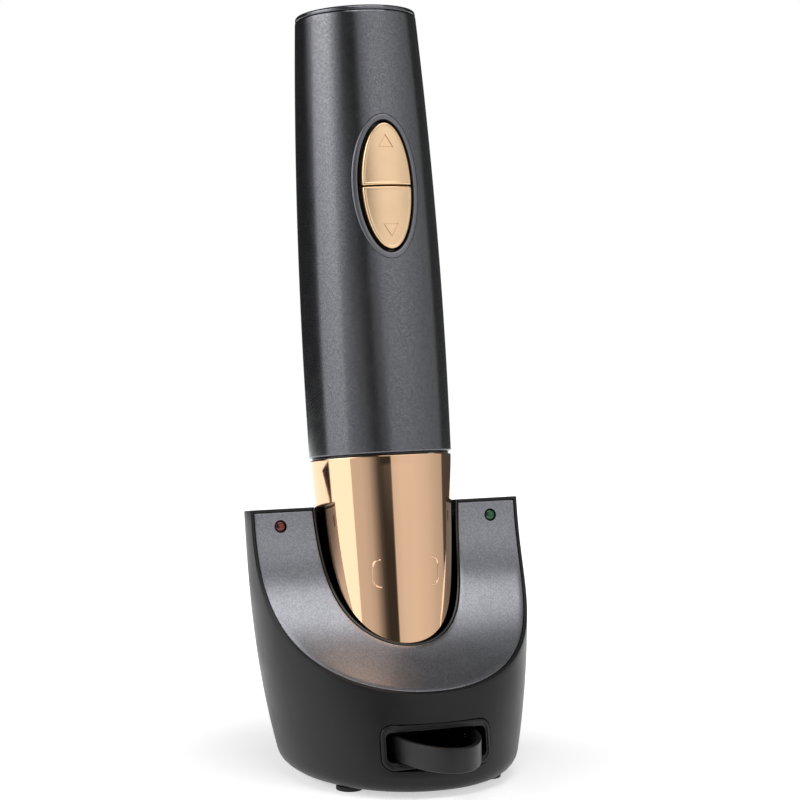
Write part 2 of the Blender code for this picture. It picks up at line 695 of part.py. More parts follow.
def make_neck_guide():
    foot, stop = SLEEVE_FOOT_Z, SLEEVE_FOOT_Z + NECK_DEPTH
    top = GEAR_CASE_Z - GAP
    flange = handle_radius(top) - HANDLE_WALL - 0.6 * MM
    foot_flange = SLEEVE_FOOT_RADIUS - SLEEVE_WALL - GAP
    neck, chamber = NECK_RADIUS + GUIDE_WALL, CHAMBER_RADIUS + GUIDE_WALL
    guide = turned("neck_guide", [
        (flange, top), (flange, top - GUIDE_FLANGE), (chamber, top - GUIDE_FLANGE), (chamber, stop + GUIDE_WALL),
        (neck, stop + GUIDE_WALL), (neck, foot + GUIDE_WALL), (foot_flange, foot + GUIDE_WALL),
        (foot_flange, foot), (NECK_RADIUS, foot), (NECK_RADIUS, stop), (CHAMBER_RADIUS, stop),
        (CHAMBER_RADIUS, top),
    ], LEANING, INNER, sides=28, ring=True)
    for number in range(4):
        rib = box(f"cork_rib_{number}", (CHAMBER_RADIUS - 1 * MM, -0.5 * MM, stop + 0.5 * MM),
                  (CHAMBER_RADIUS + 1 * MM, 0.5 * MM, HUB_Z - 6 * MM), LEANING)
        rib.rotation_euler.z = math.pi / 4 + number * math.pi / 2
        join(guide, rib)
    for side, sign in (("left", -1), ("right", 1)):
        cut(guide, cylinder(f"contact_seat_{side}", CONTACT_RADIUS + 0.2 * MM, foot - 1 * MM,
                            foot + CONTACT_THICK + GAP, LEANING, centre=charge_place(sign), sides=16))


def oval_cutter(name, half_width, half_height, low_y, high_y, material=None):
    """An oval bar that runs front to back through the button's centre."""
    bar = prism(name, ellipse(half_width, half_height), low_y, high_y, LEANING, material)
    for vertex in bar.data.vertices:
        x, z, y = vertex.co
        vertex.co = (x, y, BUTTON_Z + z)
    bar.data.flip_normals()
    return bar


def barrel(name, proud):
    """The handle's outer form round the buttons, grown by proud."""
    low, high = BUTTON_Z - BEZEL_HALF_HEIGHT - 8 * MM, BUTTON_Z + BEZEL_HALF_HEIGHT + 8 * MM
    side = [(handle_radius(z) + proud, z) for z in spaced(high, low, 7)]
    return turned(name, [(0, high), *side, (0, low)], LEANING, sides=72)


def make_buttons():
    floor_front, floor_back = BUTTON_BACK_Y + BUTTON_TRAVEL + 0.4 * MM, BUTTON_BACK_Y + BUTTON_TRAVEL + 1.9 * MM
    bezel = oval_cutter("button_bezel", BEZEL_HALF_WIDTH, BEZEL_HALF_HEIGHT, -30 * MM, floor_back, BLACK)
    inner = BEZEL_HALF_WIDTH - BEZEL_RING, BEZEL_HALF_HEIGHT - BEZEL_RING
    keep(bezel, barrel("bezel_form", BEZEL_PROUD))
    cut(bezel, oval_cutter("bezel_opening", *inner, -40 * MM, floor_front))
    form = barrel("button_form", BUTTON_PROUD)
    for name, sign in (("release_button", 1), ("extract_button", -1)):
        stem_z = BUTTON_Z + sign * STEM_OFFSET_Z
        cut(bezel, cylinder(f"{name}_hole", STEM_RADIUS + GAP, -25 * MM, -10 * MM, LEANING,
                            centre=(0, stem_z), axis="Y", sides=16))
        button = oval_cutter(name, inner[0] - BUTTON_CLEARANCE, inner[1] - BUTTON_CLEARANCE,
                             -32 * MM, BUTTON_BACK_Y, SATIN_ROSE)
        keep(button, form)
        near, far = BUTTON_Z + sign * BUTTON_SPLIT / 2, BUTTON_Z - sign * 40 * MM
        low, high = sorted((near, far))
        cut(button, box(f"{name}_half", (-20 * MM, -40 * MM, low), (20 * MM, -10 * MM, high), LEANING))
        join(button, cylinder(f"{name}_stem", STEM_RADIUS, BUTTON_BACK_Y - 1 * MM, floor_back + 0.2 * MM, LEANING,
                              centre=(0, stem_z), axis="Y", sides=16))


# ---------------------------------------------------------------- opener: electrics

def make_electrics():
    plunger = BUTTON_BACK_Y + 2 * BUTTON_TRAVEL + 2.3 * MM
    board_y = plunger + 3.4 * MM
    half_height = BEZEL_HALF_HEIGHT - 2 * MM
    box("control_board", (-15 * MM, board_y, BUTTON_Z - half_height),
        (15 * MM, board_y + BOARD_THICK, BUTTON_Z + half_height), LEANING, BOARD)
    for name, sign in (("tact_switch_upper", 1), ("tact_switch_lower", -1)):
        z = BUTTON_Z + sign * STEM_OFFSET_Z
        body = box(name, (-3 * MM, plunger + 1 * MM, z - 3 * MM), (3 * MM, board_y - FINE_GAP, z + 3 * MM),
                   LEANING, BLACK)
        join(body, cylinder(f"{name}_plunger", 1.7 * MM, plunger, plunger + 2 * MM, LEANING,
                            centre=(0, z), axis="Y", sides=12))

    spacing = CELL_RADIUS + FINE_GAP
    for number, (sx, sy) in enumerate(((-1, -1), (1, -1), (-1, 1), (1, 1)), 1):
        top = CELL_Z + CELL_LENGTH
        turned(f"battery_cell_{number}", [
            (0, top + 1 * MM), (2.5 * MM, top + 1 * MM), (2.5 * MM, top), (CELL_RADIUS, top),
            (CELL_RADIUS, CELL_Z), (0, CELL_Z),
        ], LEANING, CELL, sides=16, at=(sx * spacing, PACK_Y + sy * spacing, 0))

    low, high = CELL_Z - GAP - 1.8 * MM, CELL_Z + CELL_LENGTH + 1 * MM + GAP
    reach = handle_radius(high + 1.8 * MM) - HANDLE_WALL - 0.7 * MM
    holder = cylinder("battery_holder", reach, low, low + 1.8 * MM, LEANING, INNER, sides=32)
    spine_y = PACK_Y + 2 * CELL_RADIUS + FINE_GAP + GAP
    spine = box("holder_spine", (-5 * MM, spine_y, low + 0.9 * MM), (5 * MM, reach, high + 0.9 * MM), LEANING)
    lid = cylinder("holder_lid", reach, high, high + 1.8 * MM, LEANING, sides=32)
    front = box("holder_front", (-30 * MM, -30 * MM, low - 1 * MM), (30 * MM, board_y + 2 * MM, high + 6 * MM),
                LEANING)
    cut(join(holder, spine, lid), front)


# ---------------------------------------------------------------- opener: motor and gears

def involute(angle):
    return math.tan(angle) - angle


def gear_outline(teeth, tip, root, thinner):
    """A gear's outline with straight-sided teeth through its involute's ends, a tooth at +X."""
    pitch = GEAR_MODULE * teeth / 2
    base = pitch * math.cos(PRESSURE_ANGLE)
    half = math.pi / (2 * teeth) - thinner / (2 * pitch)

    def half_angle(radius):
        angle = math.acos(min(1.0, base / radius))
        return half + involute(PRESSURE_ANGLE) - involute(angle)

    outline = []
    for tooth in range(teeth):
        middle = 2 * math.pi * tooth / teeth
        for radius, sign in ((root, -1), (tip, -1), (tip, 1), (root, 1)):
            turn = middle + sign * half_angle(radius)
            outline.append((radius * math.cos(turn), radius * math.sin(turn)))
    return outline


def external_gear(teeth):
    pitch = GEAR_MODULE * teeth / 2
    return gear_outline(teeth, pitch + 0.75 * GEAR_MODULE, pitch - 0.95 * GEAR_MODULE, BACKLASH)


def planet_centre(number):
    reach = GEAR_MODULE * (SUN_TEETH + PLANET_TEETH) / 2
    turn = 2 * math.pi * number / PLANETS
    return reach * math.cos(turn), reach * math.sin(turn)


def circle(radius, sides):
    return ellipse(radius, radius, sides)


def make_gears():
    plate = 2.4 * MM
    top = MOTOR_Z - 0.6 * MM
    pitch = GEAR_MODULE * RING_TEETH / 2
    teeth = gear_outline(RING_TEETH, pitch + 0.95 * GEAR_MODULE, pitch - 0.75 * GEAR_MODULE, 0.0)
    case = prism("gear_case", circle(GEAR_CASE_RADIUS, 32), GEAR_CASE_Z, top, LEANING, INNER)
    flange = handle_radius(GEAR_CASE_Z) - HANDLE_WALL - 0.6 * MM
    join(case, cylinder("case_flange", flange, GEAR_CASE_Z, GEAR_CASE_Z + plate, LEANING, sides=32))
    cut(case, prism("ring_teeth", teeth, GEAR_CASE_Z + plate, top + 2 * MM, LEANING))
    cut(case, cylinder("bush_seat", SPINDLE_RADIUS + 1.8 * MM, GEAR_CASE_Z - 2 * MM, GEAR_CASE_Z + 5 * MM, LEANING))

    bore = SPINDLE_RADIUS + RUN
    outer = SPINDLE_RADIUS + 1.8 * MM - FINE_GAP
    turned("output_bush", [
        (outer, GEAR_CASE_Z + plate), (outer, GEAR_CASE_Z), (bore, GEAR_CASE_Z), (bore, GEAR_CASE_Z + plate),
    ], LEANING, BRASS, sides=24, ring=True)

    carrier_z = STAGE2_Z - GAP - CARRIER_THICK
    bore_r, hub_top = WORM_WIRE_RADIUS + RUN + FINE_GAP, GEAR_CASE_Z - 0.6 * MM
    spindle = turned("output_spindle", [
        (0, carrier_z + CARRIER_THICK), (CARRIER_RADIUS, carrier_z + CARRIER_THICK), (CARRIER_RADIUS, carrier_z),
        (SPINDLE_RADIUS, carrier_z), (SPINDLE_RADIUS, hub_top), (HUB_RADIUS, hub_top), (HUB_RADIUS, HUB_Z),
        (bore_r, HUB_Z), (bore_r, HUB_Z + 6 * MM), (0, HUB_Z + 6 * MM),
    ], LEANING, STEEL, sides=24)
    add_carrier_pins(spindle, "stage2", STAGE2_Z)

    disc_z = STAGE1_Z - GAP - CARRIER_THICK
    carrier = cylinder("stage1_carrier", CARRIER_RADIUS, disc_z, disc_z + CARRIER_THICK, LEANING, STEEL)
    join(carrier, prism("second_sun", external_gear(SUN_TEETH), STAGE2_Z, disc_z + 0.5 * MM, LEANING))
    add_carrier_pins(carrier, "stage1", STAGE1_Z)

    for stage, low in (("stage1", STAGE1_Z), ("stage2", STAGE2_Z)):
        for number in range(PLANETS):
            prism(f"{stage}_planet_{number + 1}", external_gear(PLANET_TEETH), low, low + PLANET_WIDTH, LEANING,
                  INNER, at=(*planet_centre(number), 0), hole=circle(PIN_RADIUS + 1.5 * RUN, 12))
    prism("motor_pinion", external_gear(SUN_TEETH), STAGE1_Z + 0.2 * MM, STAGE1_Z + PLANET_WIDTH + 0.8 * MM,
          LEANING, BRASS, hole=circle(MOTOR_SHAFT_RADIUS + RUN, 12))


def add_carrier_pins(carrier, stage, low):
    for number in range(PLANETS):
        join(carrier, cylinder(f"{stage}_pin_{number}", PIN_RADIUS, low - 1.5 * MM, low + PLANET_WIDTH, LEANING,
                               centre=planet_centre(number), sides=12))


def make_motor():
    top = MOTOR_Z + MOTOR_LENGTH
    wall, hole = 1.25 * MM, MOTOR_SHAFT_RADIUS + 0.35 * MM
    turned("motor_can", [
        (MOTOR_RADIUS, top), (MOTOR_RADIUS, MOTOR_Z), (hole, MOTOR_Z), (hole, MOTOR_Z + wall),
        (MOTOR_RADIUS - wall, MOTOR_Z + wall), (MOTOR_RADIUS - wall, top),
    ], LEANING, STEEL, sides=24, ring=True)
    turned("motor_endbell", [
        (MOTOR_RADIUS, top + GAP + 1.5 * MM), (MOTOR_RADIUS, top + GAP), (MOTOR_RADIUS - wall - GAP, top + GAP),
        (MOTOR_RADIUS - wall - GAP, top - 2 * MM), (hole, top - 2 * MM), (hole, top + GAP + 1.5 * MM),
    ], LEANING, BLACK, sides=24, ring=True)
    shaft = MOTOR_SHAFT_RADIUS
    turned("motor_rotor", [
        (0, top + 1 * MM), (shaft, top + 1 * MM), (shaft, MOTOR_Z + 35 * MM), (3.2 * MM, MOTOR_Z + 35 * MM),
        (3.2 * MM, MOTOR_Z + 29 * MM), (shaft, MOTOR_Z + 29 * MM), (shaft, MOTOR_Z + 27 * MM),
        (10.8 * MM, MOTOR_Z + 27 * MM), (10.8 * MM, MOTOR_Z + 5 * MM), (shaft, MOTOR_Z + 5 * MM),
        (shaft, STAGE1_Z + 0.3 * MM), (0, STAGE1_Z + 0.3 * MM),
    ], LEANING, STEEL, sides=24)


def make_corkscrew():
    """One wire: a straight shank in the hub, then a coil that ends in a point."""
    turns = (WORM_COIL_TOP_Z - WORM_TIP_Z) / WORM_PITCH
    count = round(turns * WORM_POINTS_PER_TURN)
    path = [((0, 0, HUB_Z + 5.5 * MM), 1.0), ((0, 0, HUB_Z), 1.0), ((0, 0, WORM_COIL_TOP_Z + 2.5 * MM), 1.0)]
    for k in range(count + 1):
        turn = -2 * math.pi * k / WORM_POINTS_PER_TURN
        reach = WORM_COIL_RADIUS * min(1.0, 0.35 + k / WORM_POINTS_PER_TURN)
        thick = min(1.0, 0.25 + 0.75 * (count - k) / WORM_POINTS_PER_TURN)
        z = WORM_COIL_TOP_Z + (WORM_TIP_Z - WORM_COIL_TOP_Z) * k / count
        path.append(((reach * math.cos(turn), reach * math.sin(turn), z), thick))
    curve = bpy.data.curves.new("corkscrew", "CURVE")
    curve.dimensions = "3D"
    curve.bevel_depth = WORM_WIRE_RADIUS
    curve.bevel_resolution = 2
    curve.use_fill_caps = True
    spline = curve.splines.new("POLY")
    spline.points.add(len(path) - 1)
    for point, (spot, thick) in zip(spline.points, path):
        point.co = (*spot, 1)
        point.radius = thick
    curve.materials.append(STEEL)
    worm = bpy.data.objects.new("corkscrew", curve)
    worm.parent = LEANING
    PARTS.objects.link(worm)


make_base_shell()
make_trim()
make_cup()
make_underside()
make_charging()
make_inlet()
make_bay()
make_foil_cutter()
make_casing()
make_neck_guide()
make_buttons()
make_electrics()
make_gears()
make_motor()
make_corkscrew()
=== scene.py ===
"""The finished look of an electric wine opener that stands in its charging base.

The opener and the base share one axis that leans back. Most pieces are shaped in the leaning
frame, whose Z runs up that axis, whose -Y faces the front, and whose origin is where the axis
meets the flat tops of the base's two ears. The underside and the foil cutter are shaped in the
level frame, with Z = 0 on the table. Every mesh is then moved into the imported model's frame.
"""

import logging
import math
from bisect import bisect_right
from collections.abc import Callable, Sequence
from dataclasses import dataclass, field
from enum import Enum

import bmesh
import bpy
from mathutils import Matrix, Vector


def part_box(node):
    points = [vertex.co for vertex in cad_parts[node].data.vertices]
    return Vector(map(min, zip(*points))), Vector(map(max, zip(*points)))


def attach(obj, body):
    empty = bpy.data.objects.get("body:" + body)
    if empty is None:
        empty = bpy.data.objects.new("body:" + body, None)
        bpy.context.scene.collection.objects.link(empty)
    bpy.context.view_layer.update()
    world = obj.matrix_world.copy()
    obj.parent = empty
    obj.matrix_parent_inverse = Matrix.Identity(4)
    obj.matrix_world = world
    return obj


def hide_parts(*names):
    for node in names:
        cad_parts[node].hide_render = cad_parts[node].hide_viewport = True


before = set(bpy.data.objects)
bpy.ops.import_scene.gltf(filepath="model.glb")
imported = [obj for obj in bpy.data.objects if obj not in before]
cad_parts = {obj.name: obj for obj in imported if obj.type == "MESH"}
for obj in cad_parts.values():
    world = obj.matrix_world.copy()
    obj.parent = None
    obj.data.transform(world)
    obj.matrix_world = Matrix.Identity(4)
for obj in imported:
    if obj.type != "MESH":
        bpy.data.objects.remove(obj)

LOG = logging.getLogger("wine_opener")

MM = 0.001
TURN = 2 * math.pi
HALVINGS = 44  # enough to solve to the last digit
LEAN = math.radians(10)
AXIS_Y = 13.7 * MM
EAR_HEIGHT = 94.35 * MM
LEANING = Matrix.Translation((0, AXIS_Y, EAR_HEIGHT)) @ Matrix.Rotation(-LEAN, 4, "X")
LEVEL = Matrix.Translation((0, AXIS_Y, 0))
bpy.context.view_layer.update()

Point = tuple[float, float, float]
Flat = tuple[float, float]
Outline = Callable[[float, float], Flat]


class Ends(Enum):
    """How a loft is closed at one of its ends."""

    FACE = 1
    POLE = 2


class Cut(Enum):
    """What a Boolean does with its tools."""

    REMOVE = "DIFFERENCE"
    ADD = "UNION"


# ------------------------------------------------------------------ small sums

def spaced(low: float, high: float, count: int) -> list[float]:
    """Evenly spaced values from low to high, both included."""
    return [low + (high - low) * k / (count - 1) for k in range(count)]


def power_of(value: float, power: float) -> float:
    """The value's size raised to a power, with the value's sign."""
    return math.copysign(abs(value) ** power, value)


def solve(slope_down: Callable[[float], float], low: float, high: float) -> float:
    """Finds where a falling function crosses zero.

    Args:
        slope_down: a function that is positive at low and negative at high.
        low: the start of the range.
        high: the end of the range.

    Returns:
        The crossing, or the nearer end where there is none.
    """
    for _ in range(HALVINGS):
        middle = (low + high) / 2
        if slope_down(middle) > 0:
            low = middle
        else:
            high = middle
    return (low + high) / 2


def ellipse(half_width: float, half_height: float, sides: int) -> list[Flat]:
    """Points of an ellipse, anticlockwise from its right-hand end."""
    turns = [TURN * k / sides for k in range(sides)]
    return [(half_width * math.cos(turn), half_height * math.sin(turn)) for turn in turns]


def rounded_box(half_width: float, low: float, high: float, radius: float, steps: int = 6) -> list[Flat]:
    """Points of a rectangle with rounded corners, anticlockwise.

    Args:
        half_width: half of its width, centred on zero.
        low: its lower side.
        high: its upper side.
        radius: the corners' radius.
        steps: points on each corner, less one.

    Returns:
        The outline's points.
    """
    corners = (
        (half_width - radius, high - radius, 0), (radius - half_width, high - radius, 1),
        (radius - half_width, low + radius, 2), (half_width - radius, low + radius, 3),
    )
    points = []
    for x, z, quarter in corners:
        for k in range(steps + 1):
            turn = (quarter + k / steps) * math.pi / 2
            points.append((x + radius * math.cos(turn), z + radius * math.sin(turn)))
    return points


def drawn_in(outline: Sequence[Flat], inset: float) -> list[Flat]:
    """The closed anticlockwise outline, moved inwards square to its own line."""
    moved = []
    for k, (x, z) in enumerate(outline):
        before, after = outline[k - 1], outline[(k + 1) % len(outline)]
        run, rise = after[0] - before[0], after[1] - before[1]
        length = math.hypot(run, rise) or 1.0
        moved.append((x - rise / length * inset, z + run / length * inset))
    return moved


# ------------------------------------------------------------------ meshes

def start_loop(bm: bmesh.types.BMesh, points: Sequence[Point]) -> list[bmesh.types.BMVert]:
    """A closed loop of vertices, made as a circle and moved onto the points."""
    loop = bmesh.ops.create_circle(bm, segments=len(points), radius=1.0)["verts"]
    for vertex, point in zip(loop, points):
        vertex.co = point
    return loop


def loop_edges(bm: bmesh.types.BMesh, loop: Sequence[bmesh.types.BMVert]) -> list[bmesh.types.BMEdge]:
    """The edges of a closed loop of vertices."""
    return [bm.edges.get((first, second)) for first, second in zip(loop, [*loop[1:], loop[0]])]


def grow(
    bm: bmesh.types.BMesh, loop: Sequence[bmesh.types.BMVert], points: Sequence[Point]
) -> list[bmesh.types.BMVert]:
    """Extrudes a closed loop of edges and moves the new loop onto the points."""
    made = bmesh.ops.extrude_edge_only(bm, edges=loop_edges(bm, loop))["geom"]
    fresh = {item for item in made if isinstance(item, bmesh.types.BMVert)}
    grown = []
    for vertex, point in zip(loop, points):
        others = [edge.other_vert(vertex) for edge in vertex.link_edges]
        partner = next(other for other in others if other in fresh)
        partner.co = point
        grown.append(partner)
    return grown


def finish_end(bm: bmesh.types.BMesh, loop: Sequence[bmesh.types.BMVert], ends: Ends) -> None:
    """Closes a loft's last loop with one face, or draws it into a pole."""
    if ends is Ends.FACE:
        bmesh.ops.edgeloop_fill(bm, edges=loop_edges(bm, loop))
    else:
        centre = sum((vertex.co for vertex in loop), Vector()) / len(loop)
        bmesh.ops.pointmerge(bm, verts=loop, merge_co=centre)


def loft(rings: Sequence[Sequence[Point]], first: Ends = Ends.FACE,
         last: Ends = Ends.FACE, joined: bool = False) -> bmesh.types.BMesh:
    """Skins rings that all have the same number of points.

    Args:
        rings: the rings, in order along the shape.
        first: how the first ring is closed.
        last: how the last ring is closed.
        joined: whether the last ring joins the first, as in a tube with a wall.

    Returns:
        The new mesh, with its faces turned outwards.
    """
    bm = bmesh.new()
    start = loop = start_loop(bm, rings[0])
    for ring in rings[1:]:
        loop = grow(bm, loop, ring)
    if joined:
        bmesh.ops.bridge_loops(bm, edges=loop_edges(bm, start) + loop_edges(bm, loop))
    else:
        finish_end(bm, start, first)
        finish_end(bm, loop, last)
    bmesh.ops.recalc_face_normals(bm, faces=bm.faces)
    return bm


def turned(profile: Sequence[Flat], sides: int = 96, ring: bool = False) -> bmesh.types.BMesh:
    """Spins a profile of (radius, z) points about Z.

    Args:
        profile: the points, in order.
        sides: how many facets go round.
        ring: whether the last point joins the first.

    Returns:
        The new mesh, with poles merged and faces turned outwards.
    """
    bm = bmesh.new()
    points = [bm.verts.new((radius, 0, z)) for radius, z in profile]
    pairs = zip(points, points[1:] + points[:1] if ring else points[1:])
    edges = [bm.edges.new(pair) for pair in pairs]
    bmesh.ops.spin(bm, geom=points + edges, cent=(0, 0, 0), axis=(0, 0, 1), angle=TURN, steps=sides,
                   use_merge=True)
    bmesh.ops.remove_doubles(bm, verts=bm.verts, dist=1e-6)
    bmesh.ops.recalc_face_normals(bm, faces=bm.faces)
    return bm


def softened(profile: Sequence[Flat], radius: float, steps: int = 4, closed: bool = False) -> list[Flat]:
    """Rounds every corner of a profile, apart from its ends.

    Args:
        profile: the corners, in order.
        radius: how far from each corner its rounding starts.
        steps: points on each rounding, less one.
        closed: whether the profile is a loop, so that its ends are corners too.

    Returns:
        The rounded profile.
    """
    count = len(profile)
    rounded: list[Flat] = []
    for k, corner in enumerate(profile):
        if not closed and k in (0, count - 1):
            rounded.append(corner)
            continue
        here = Vector(corner)
        before, after = Vector(profile[k - 1]) - here, Vector(profile[(k + 1) % count]) - here
        reach = min(radius, before.length * 0.45, after.length * 0.45)
        start, end = here + before.normalized() * reach, here + after.normalized() * reach
        for share in spaced(0, 1, steps + 1):
            point = start * (1 - share) ** 2 + here * 2 * share * (1 - share) + end * share**2
            rounded.append((point.x, point.y))
    return rounded


def bar(outline: Sequence[Point], shift: Point) -> bmesh.types.BMesh:
    """A straight bar: an outline carried by shift, with both ends closed."""
    return loft([outline, [tuple(Vector(point) + Vector(shift)) for point in outline]])


def block(low: Point, high: Point) -> bmesh.types.BMesh:
    """A box between two corners."""
    bm = bmesh.new()
    size, middle = Vector(high) - Vector(low), (Vector(high) + Vector(low)) / 2
    bmesh.ops.create_cube(bm, size=1, matrix=Matrix.Translation(middle) @ Matrix.Diagonal((*size, 1)))
    return bm


def rod(radius: float, start: Point, end: Point, sides: int = 32) -> bmesh.types.BMesh:
    """A cylinder between two points."""
    bm = bmesh.new()
    line = Vector(end) - Vector(start)
    turn = Vector((0, 0, 1)).rotation_difference(line).to_matrix().to_4x4()
    middle = Matrix.Translation((Vector(start) + Vector(end)) / 2)
    bmesh.ops.create_cone(bm, cap_ends=True, segments=sides, radius1=radius, radius2=radius,
                          depth=line.length, matrix=middle @ turn)
    return bm


def round_edges(bm: bmesh.types.BMesh, width: float, over: float = 50.0, segments: int = 3,
                edges: Sequence[bmesh.types.BMEdge] | None = None) -> bmesh.types.BMesh:
    """Rounds edges that are sharper than an angle.

    Args:
        bm: the mesh.
        width: the rounding's reach on each side.
        over: the least angle between faces, in degrees.
        segments: facets across the rounding.
        edges: the edges to look at, or None for all.

    Returns:
        The same mesh.
    """
    bm.normal_update()
    sharp = [
        edge for edge in (edges or bm.edges)
        if len(edge.link_faces) == 2 and edge.calc_face_angle() > math.radians(over)
    ]
    bmesh.ops.bevel(bm, geom=sharp, offset=width, offset_type="OFFSET", affect="EDGES", segments=segments,
                    profile=0.5, material=-1, clamp_overlap=True)
    return bm


def to_object(name: str, bm: bmesh.types.BMesh) -> bpy.types.Object:
    """Makes an object from a bmesh and frees the bmesh."""
    mesh = bpy.data.meshes.new(name)
    bm.to_mesh(mesh)
    bm.free()
    obj = bpy.data.objects.new(name, mesh)
    bpy.context.scene.collection.objects.link(obj)
    return obj


def shaped(bm: bmesh.types.BMesh, cut: Cut, *tools: bmesh.types.BMesh) -> bmesh.types.BMesh:
    """Applies Booleans with the tools, one after another.

    Args:
        bm: the mesh to work on.
        cut: what the Booleans do.
        *tools: the tools' meshes, which are used up.

    Returns:
        The resulting mesh.
    """
    obj = to_object("work", bm)
    helpers = [to_object("tool", tool) for tool in tools]
    for helper in helpers:
        modifier = obj.modifiers.new("cut", "BOOLEAN")
        modifier.operation = cut.value
        modifier.solver = "EXACT"
        modifier.object = helper
    result = bmesh.new()
    result.from_object(obj, bpy.context.evaluated_depsgraph_get())
    for item in (obj, *helpers):
        mesh = item.data
        bpy.data.objects.remove(item)
        bpy.data.meshes.remove(mesh)
    return result


# ------------------------------------------------------------------ materials

def linear(colour: str) -> tuple[float, float, float, float]:
    """An sRGB hex colour as linear RGBA."""
    parts = [int(colour[k:k + 2], 16) / 255 for k in (1, 3, 5)]
    return (*(c / 12.92 if c <= 0.04045 else ((c + 0.055) / 1.055) ** 2.4 for c in parts), 1.0)


def per_mm(size: float) -> float:
    """A texture's scale for features of this size in millimetres."""
    return 1 / (size * MM)


def node(tree: bpy.types.NodeTree, kind: str, links: dict | None = None,
         **settings: object) -> bpy.types.Node:
    """Adds a node.

    Args:
        tree: the node tree.
        kind: the node's type, without its ShaderNode prefix.
        links: input name or number to a value or an output socket.
        **settings: the node's own properties.

    Returns:
        The new node.
    """
    made = tree.nodes.new("ShaderNode" + kind)
    for key, value in settings.items():
        setattr(made, key, value)
    for key, value in (links or {}).items():
        if isinstance(value, bpy.types.NodeSocket):
            tree.links.new(value, made.inputs[key])
        else:
            made.inputs[key].default_value = value
    return made


def ramp(tree: bpy.types.NodeTree, factor: bpy.types.NodeSocket,
         stops: Sequence[tuple]) -> bpy.types.NodeSocket:
    """A colour ramp's output; each stop is a place and a hex colour or a grey level."""
    made = node(tree, "ValToRGB", {"Fac": factor})
    while len(made.color_ramp.elements) < len(stops):
        made.color_ramp.elements.new(0.5)
    for element, (place, value) in zip(made.color_ramp.elements, stops):
        element.position = place
        element.color = linear(value) if isinstance(value, str) else (value, value, value, 1)
    return made.outputs["Color"]


@dataclass(frozen=True)
class Finish:
    """A surface finish: uniform numbers on the shader, and a pattern from subclasses."""

    name: str
    colour: str
    roughness: float
    metallic: float = 0.0
    ior: float = 1.5
    specular: float = 0.5

    def build(self) -> bpy.types.Material:
        """Makes the material."""
        material = bpy.data.materials.new(self.name)
        material.use_nodes = True
        tree = material.node_tree
        shader = tree.nodes["Principled BSDF"]
        shader.inputs["Base Color"].default_value = linear(self.colour)
        shader.inputs["Roughness"].default_value = self.roughness
        shader.inputs["Metallic"].default_value = self.metallic
        if self.metallic < 1:
            shader.inputs["IOR"].default_value = self.ior
            shader.inputs["Specular IOR Level"].default_value = self.specular
        place = node(tree, "TexCoord").outputs["Object"]
        self.pattern(tree, shader, place)
        return material

    def pattern(self, tree: bpy.types.NodeTree, shader: bpy.types.Node, place: bpy.types.NodeSocket) -> None:
        """Adds the finish's own detail; the plain finish has none."""

    def noise(self, tree: bpy.types.NodeTree, place: bpy.types.NodeSocket, size: float,
              detail: float = 2.0) -> bpy.types.NodeSocket:
        """A noise whose features are size millimetres across."""
        made = node(tree, "TexNoise", {"Vector": place, "Scale": per_mm(size), "Detail": detail})
        return made.outputs["Fac"]

    def bump(self, tree: bpy.types.NodeTree, shader: bpy.types.Node, height: bpy.types.NodeSocket,
             depth: float, strength: float) -> None:
        """Links a bump whose relief is depth millimetres."""
        made = node(tree, "Bump", {"Height": height, "Distance": depth * MM, "Strength": strength})
        tree.links.new(made.outputs["Normal"], shader.inputs["Normal"])

    def vary_roughness(self, tree: bpy.types.NodeTree, shader: bpy.types.Node,
                       factor: bpy.types.NodeSocket, spread: float) -> None:
        """Lets the roughness wander by spread on either side of its own value."""
        made = node(tree, "MapRange", {"Value": factor, "From Min": 0.3, "From Max": 0.7,
                                       "To Min": self.roughness - spread, "To Max": self.roughness + spread})
        tree.links.new(made.outputs["Result"], shader.inputs["Roughness"])


@dataclass(frozen=True)
class FlakeLacquer(Finish):
    """Metallic lacquer: aluminium flake in a tinted coat, with a fine sparkle from flake to flake."""

    light: str = "#808084"
    dark: str = "#404044"
    flake: float = 0.3
    sparkle: float = 0.1

    def pattern(self, tree: bpy.types.NodeTree, shader: bpy.types.Node, place: bpy.types.NodeSocket) -> None:
        """Colours each flake a little differently and tilts it with a bump."""
        cells = node(tree, "TexVoronoi", {"Vector": place, "Scale": per_mm(self.flake)})
        grain = node(tree, "SeparateColor", {"Color": cells.outputs["Color"]}).outputs["Red"]
        colours = ramp(tree, grain, ((0.0, self.dark), (0.5, self.colour), (1.0, self.light)))
        tree.links.new(colours, shader.inputs["Base Color"])
        self.bump(tree, shader, grain, 0.01, self.sparkle)
        self.vary_roughness(tree, shader, self.noise(tree, place, 6.0), 0.02)


@dataclass(frozen=True)
class Plated(Finish):
    """Polished plate: a mirror with faint wiping haze and the gentlest ripple of pressed metal."""

    haze: float = 0.02
    ripple: float = 0.03

    def pattern(self, tree: bpy.types.NodeTree, shader: bpy.types.Node, place: bpy.types.NodeSocket) -> None:
        """Adds haze to the roughness and a long shallow ripple."""
        self.vary_roughness(tree, shader, self.noise(tree, place, 11.0, 4.0), self.haze)
        self.bump(tree, shader, self.noise(tree, place, 14.0, 1.0), 0.12, self.ripple)


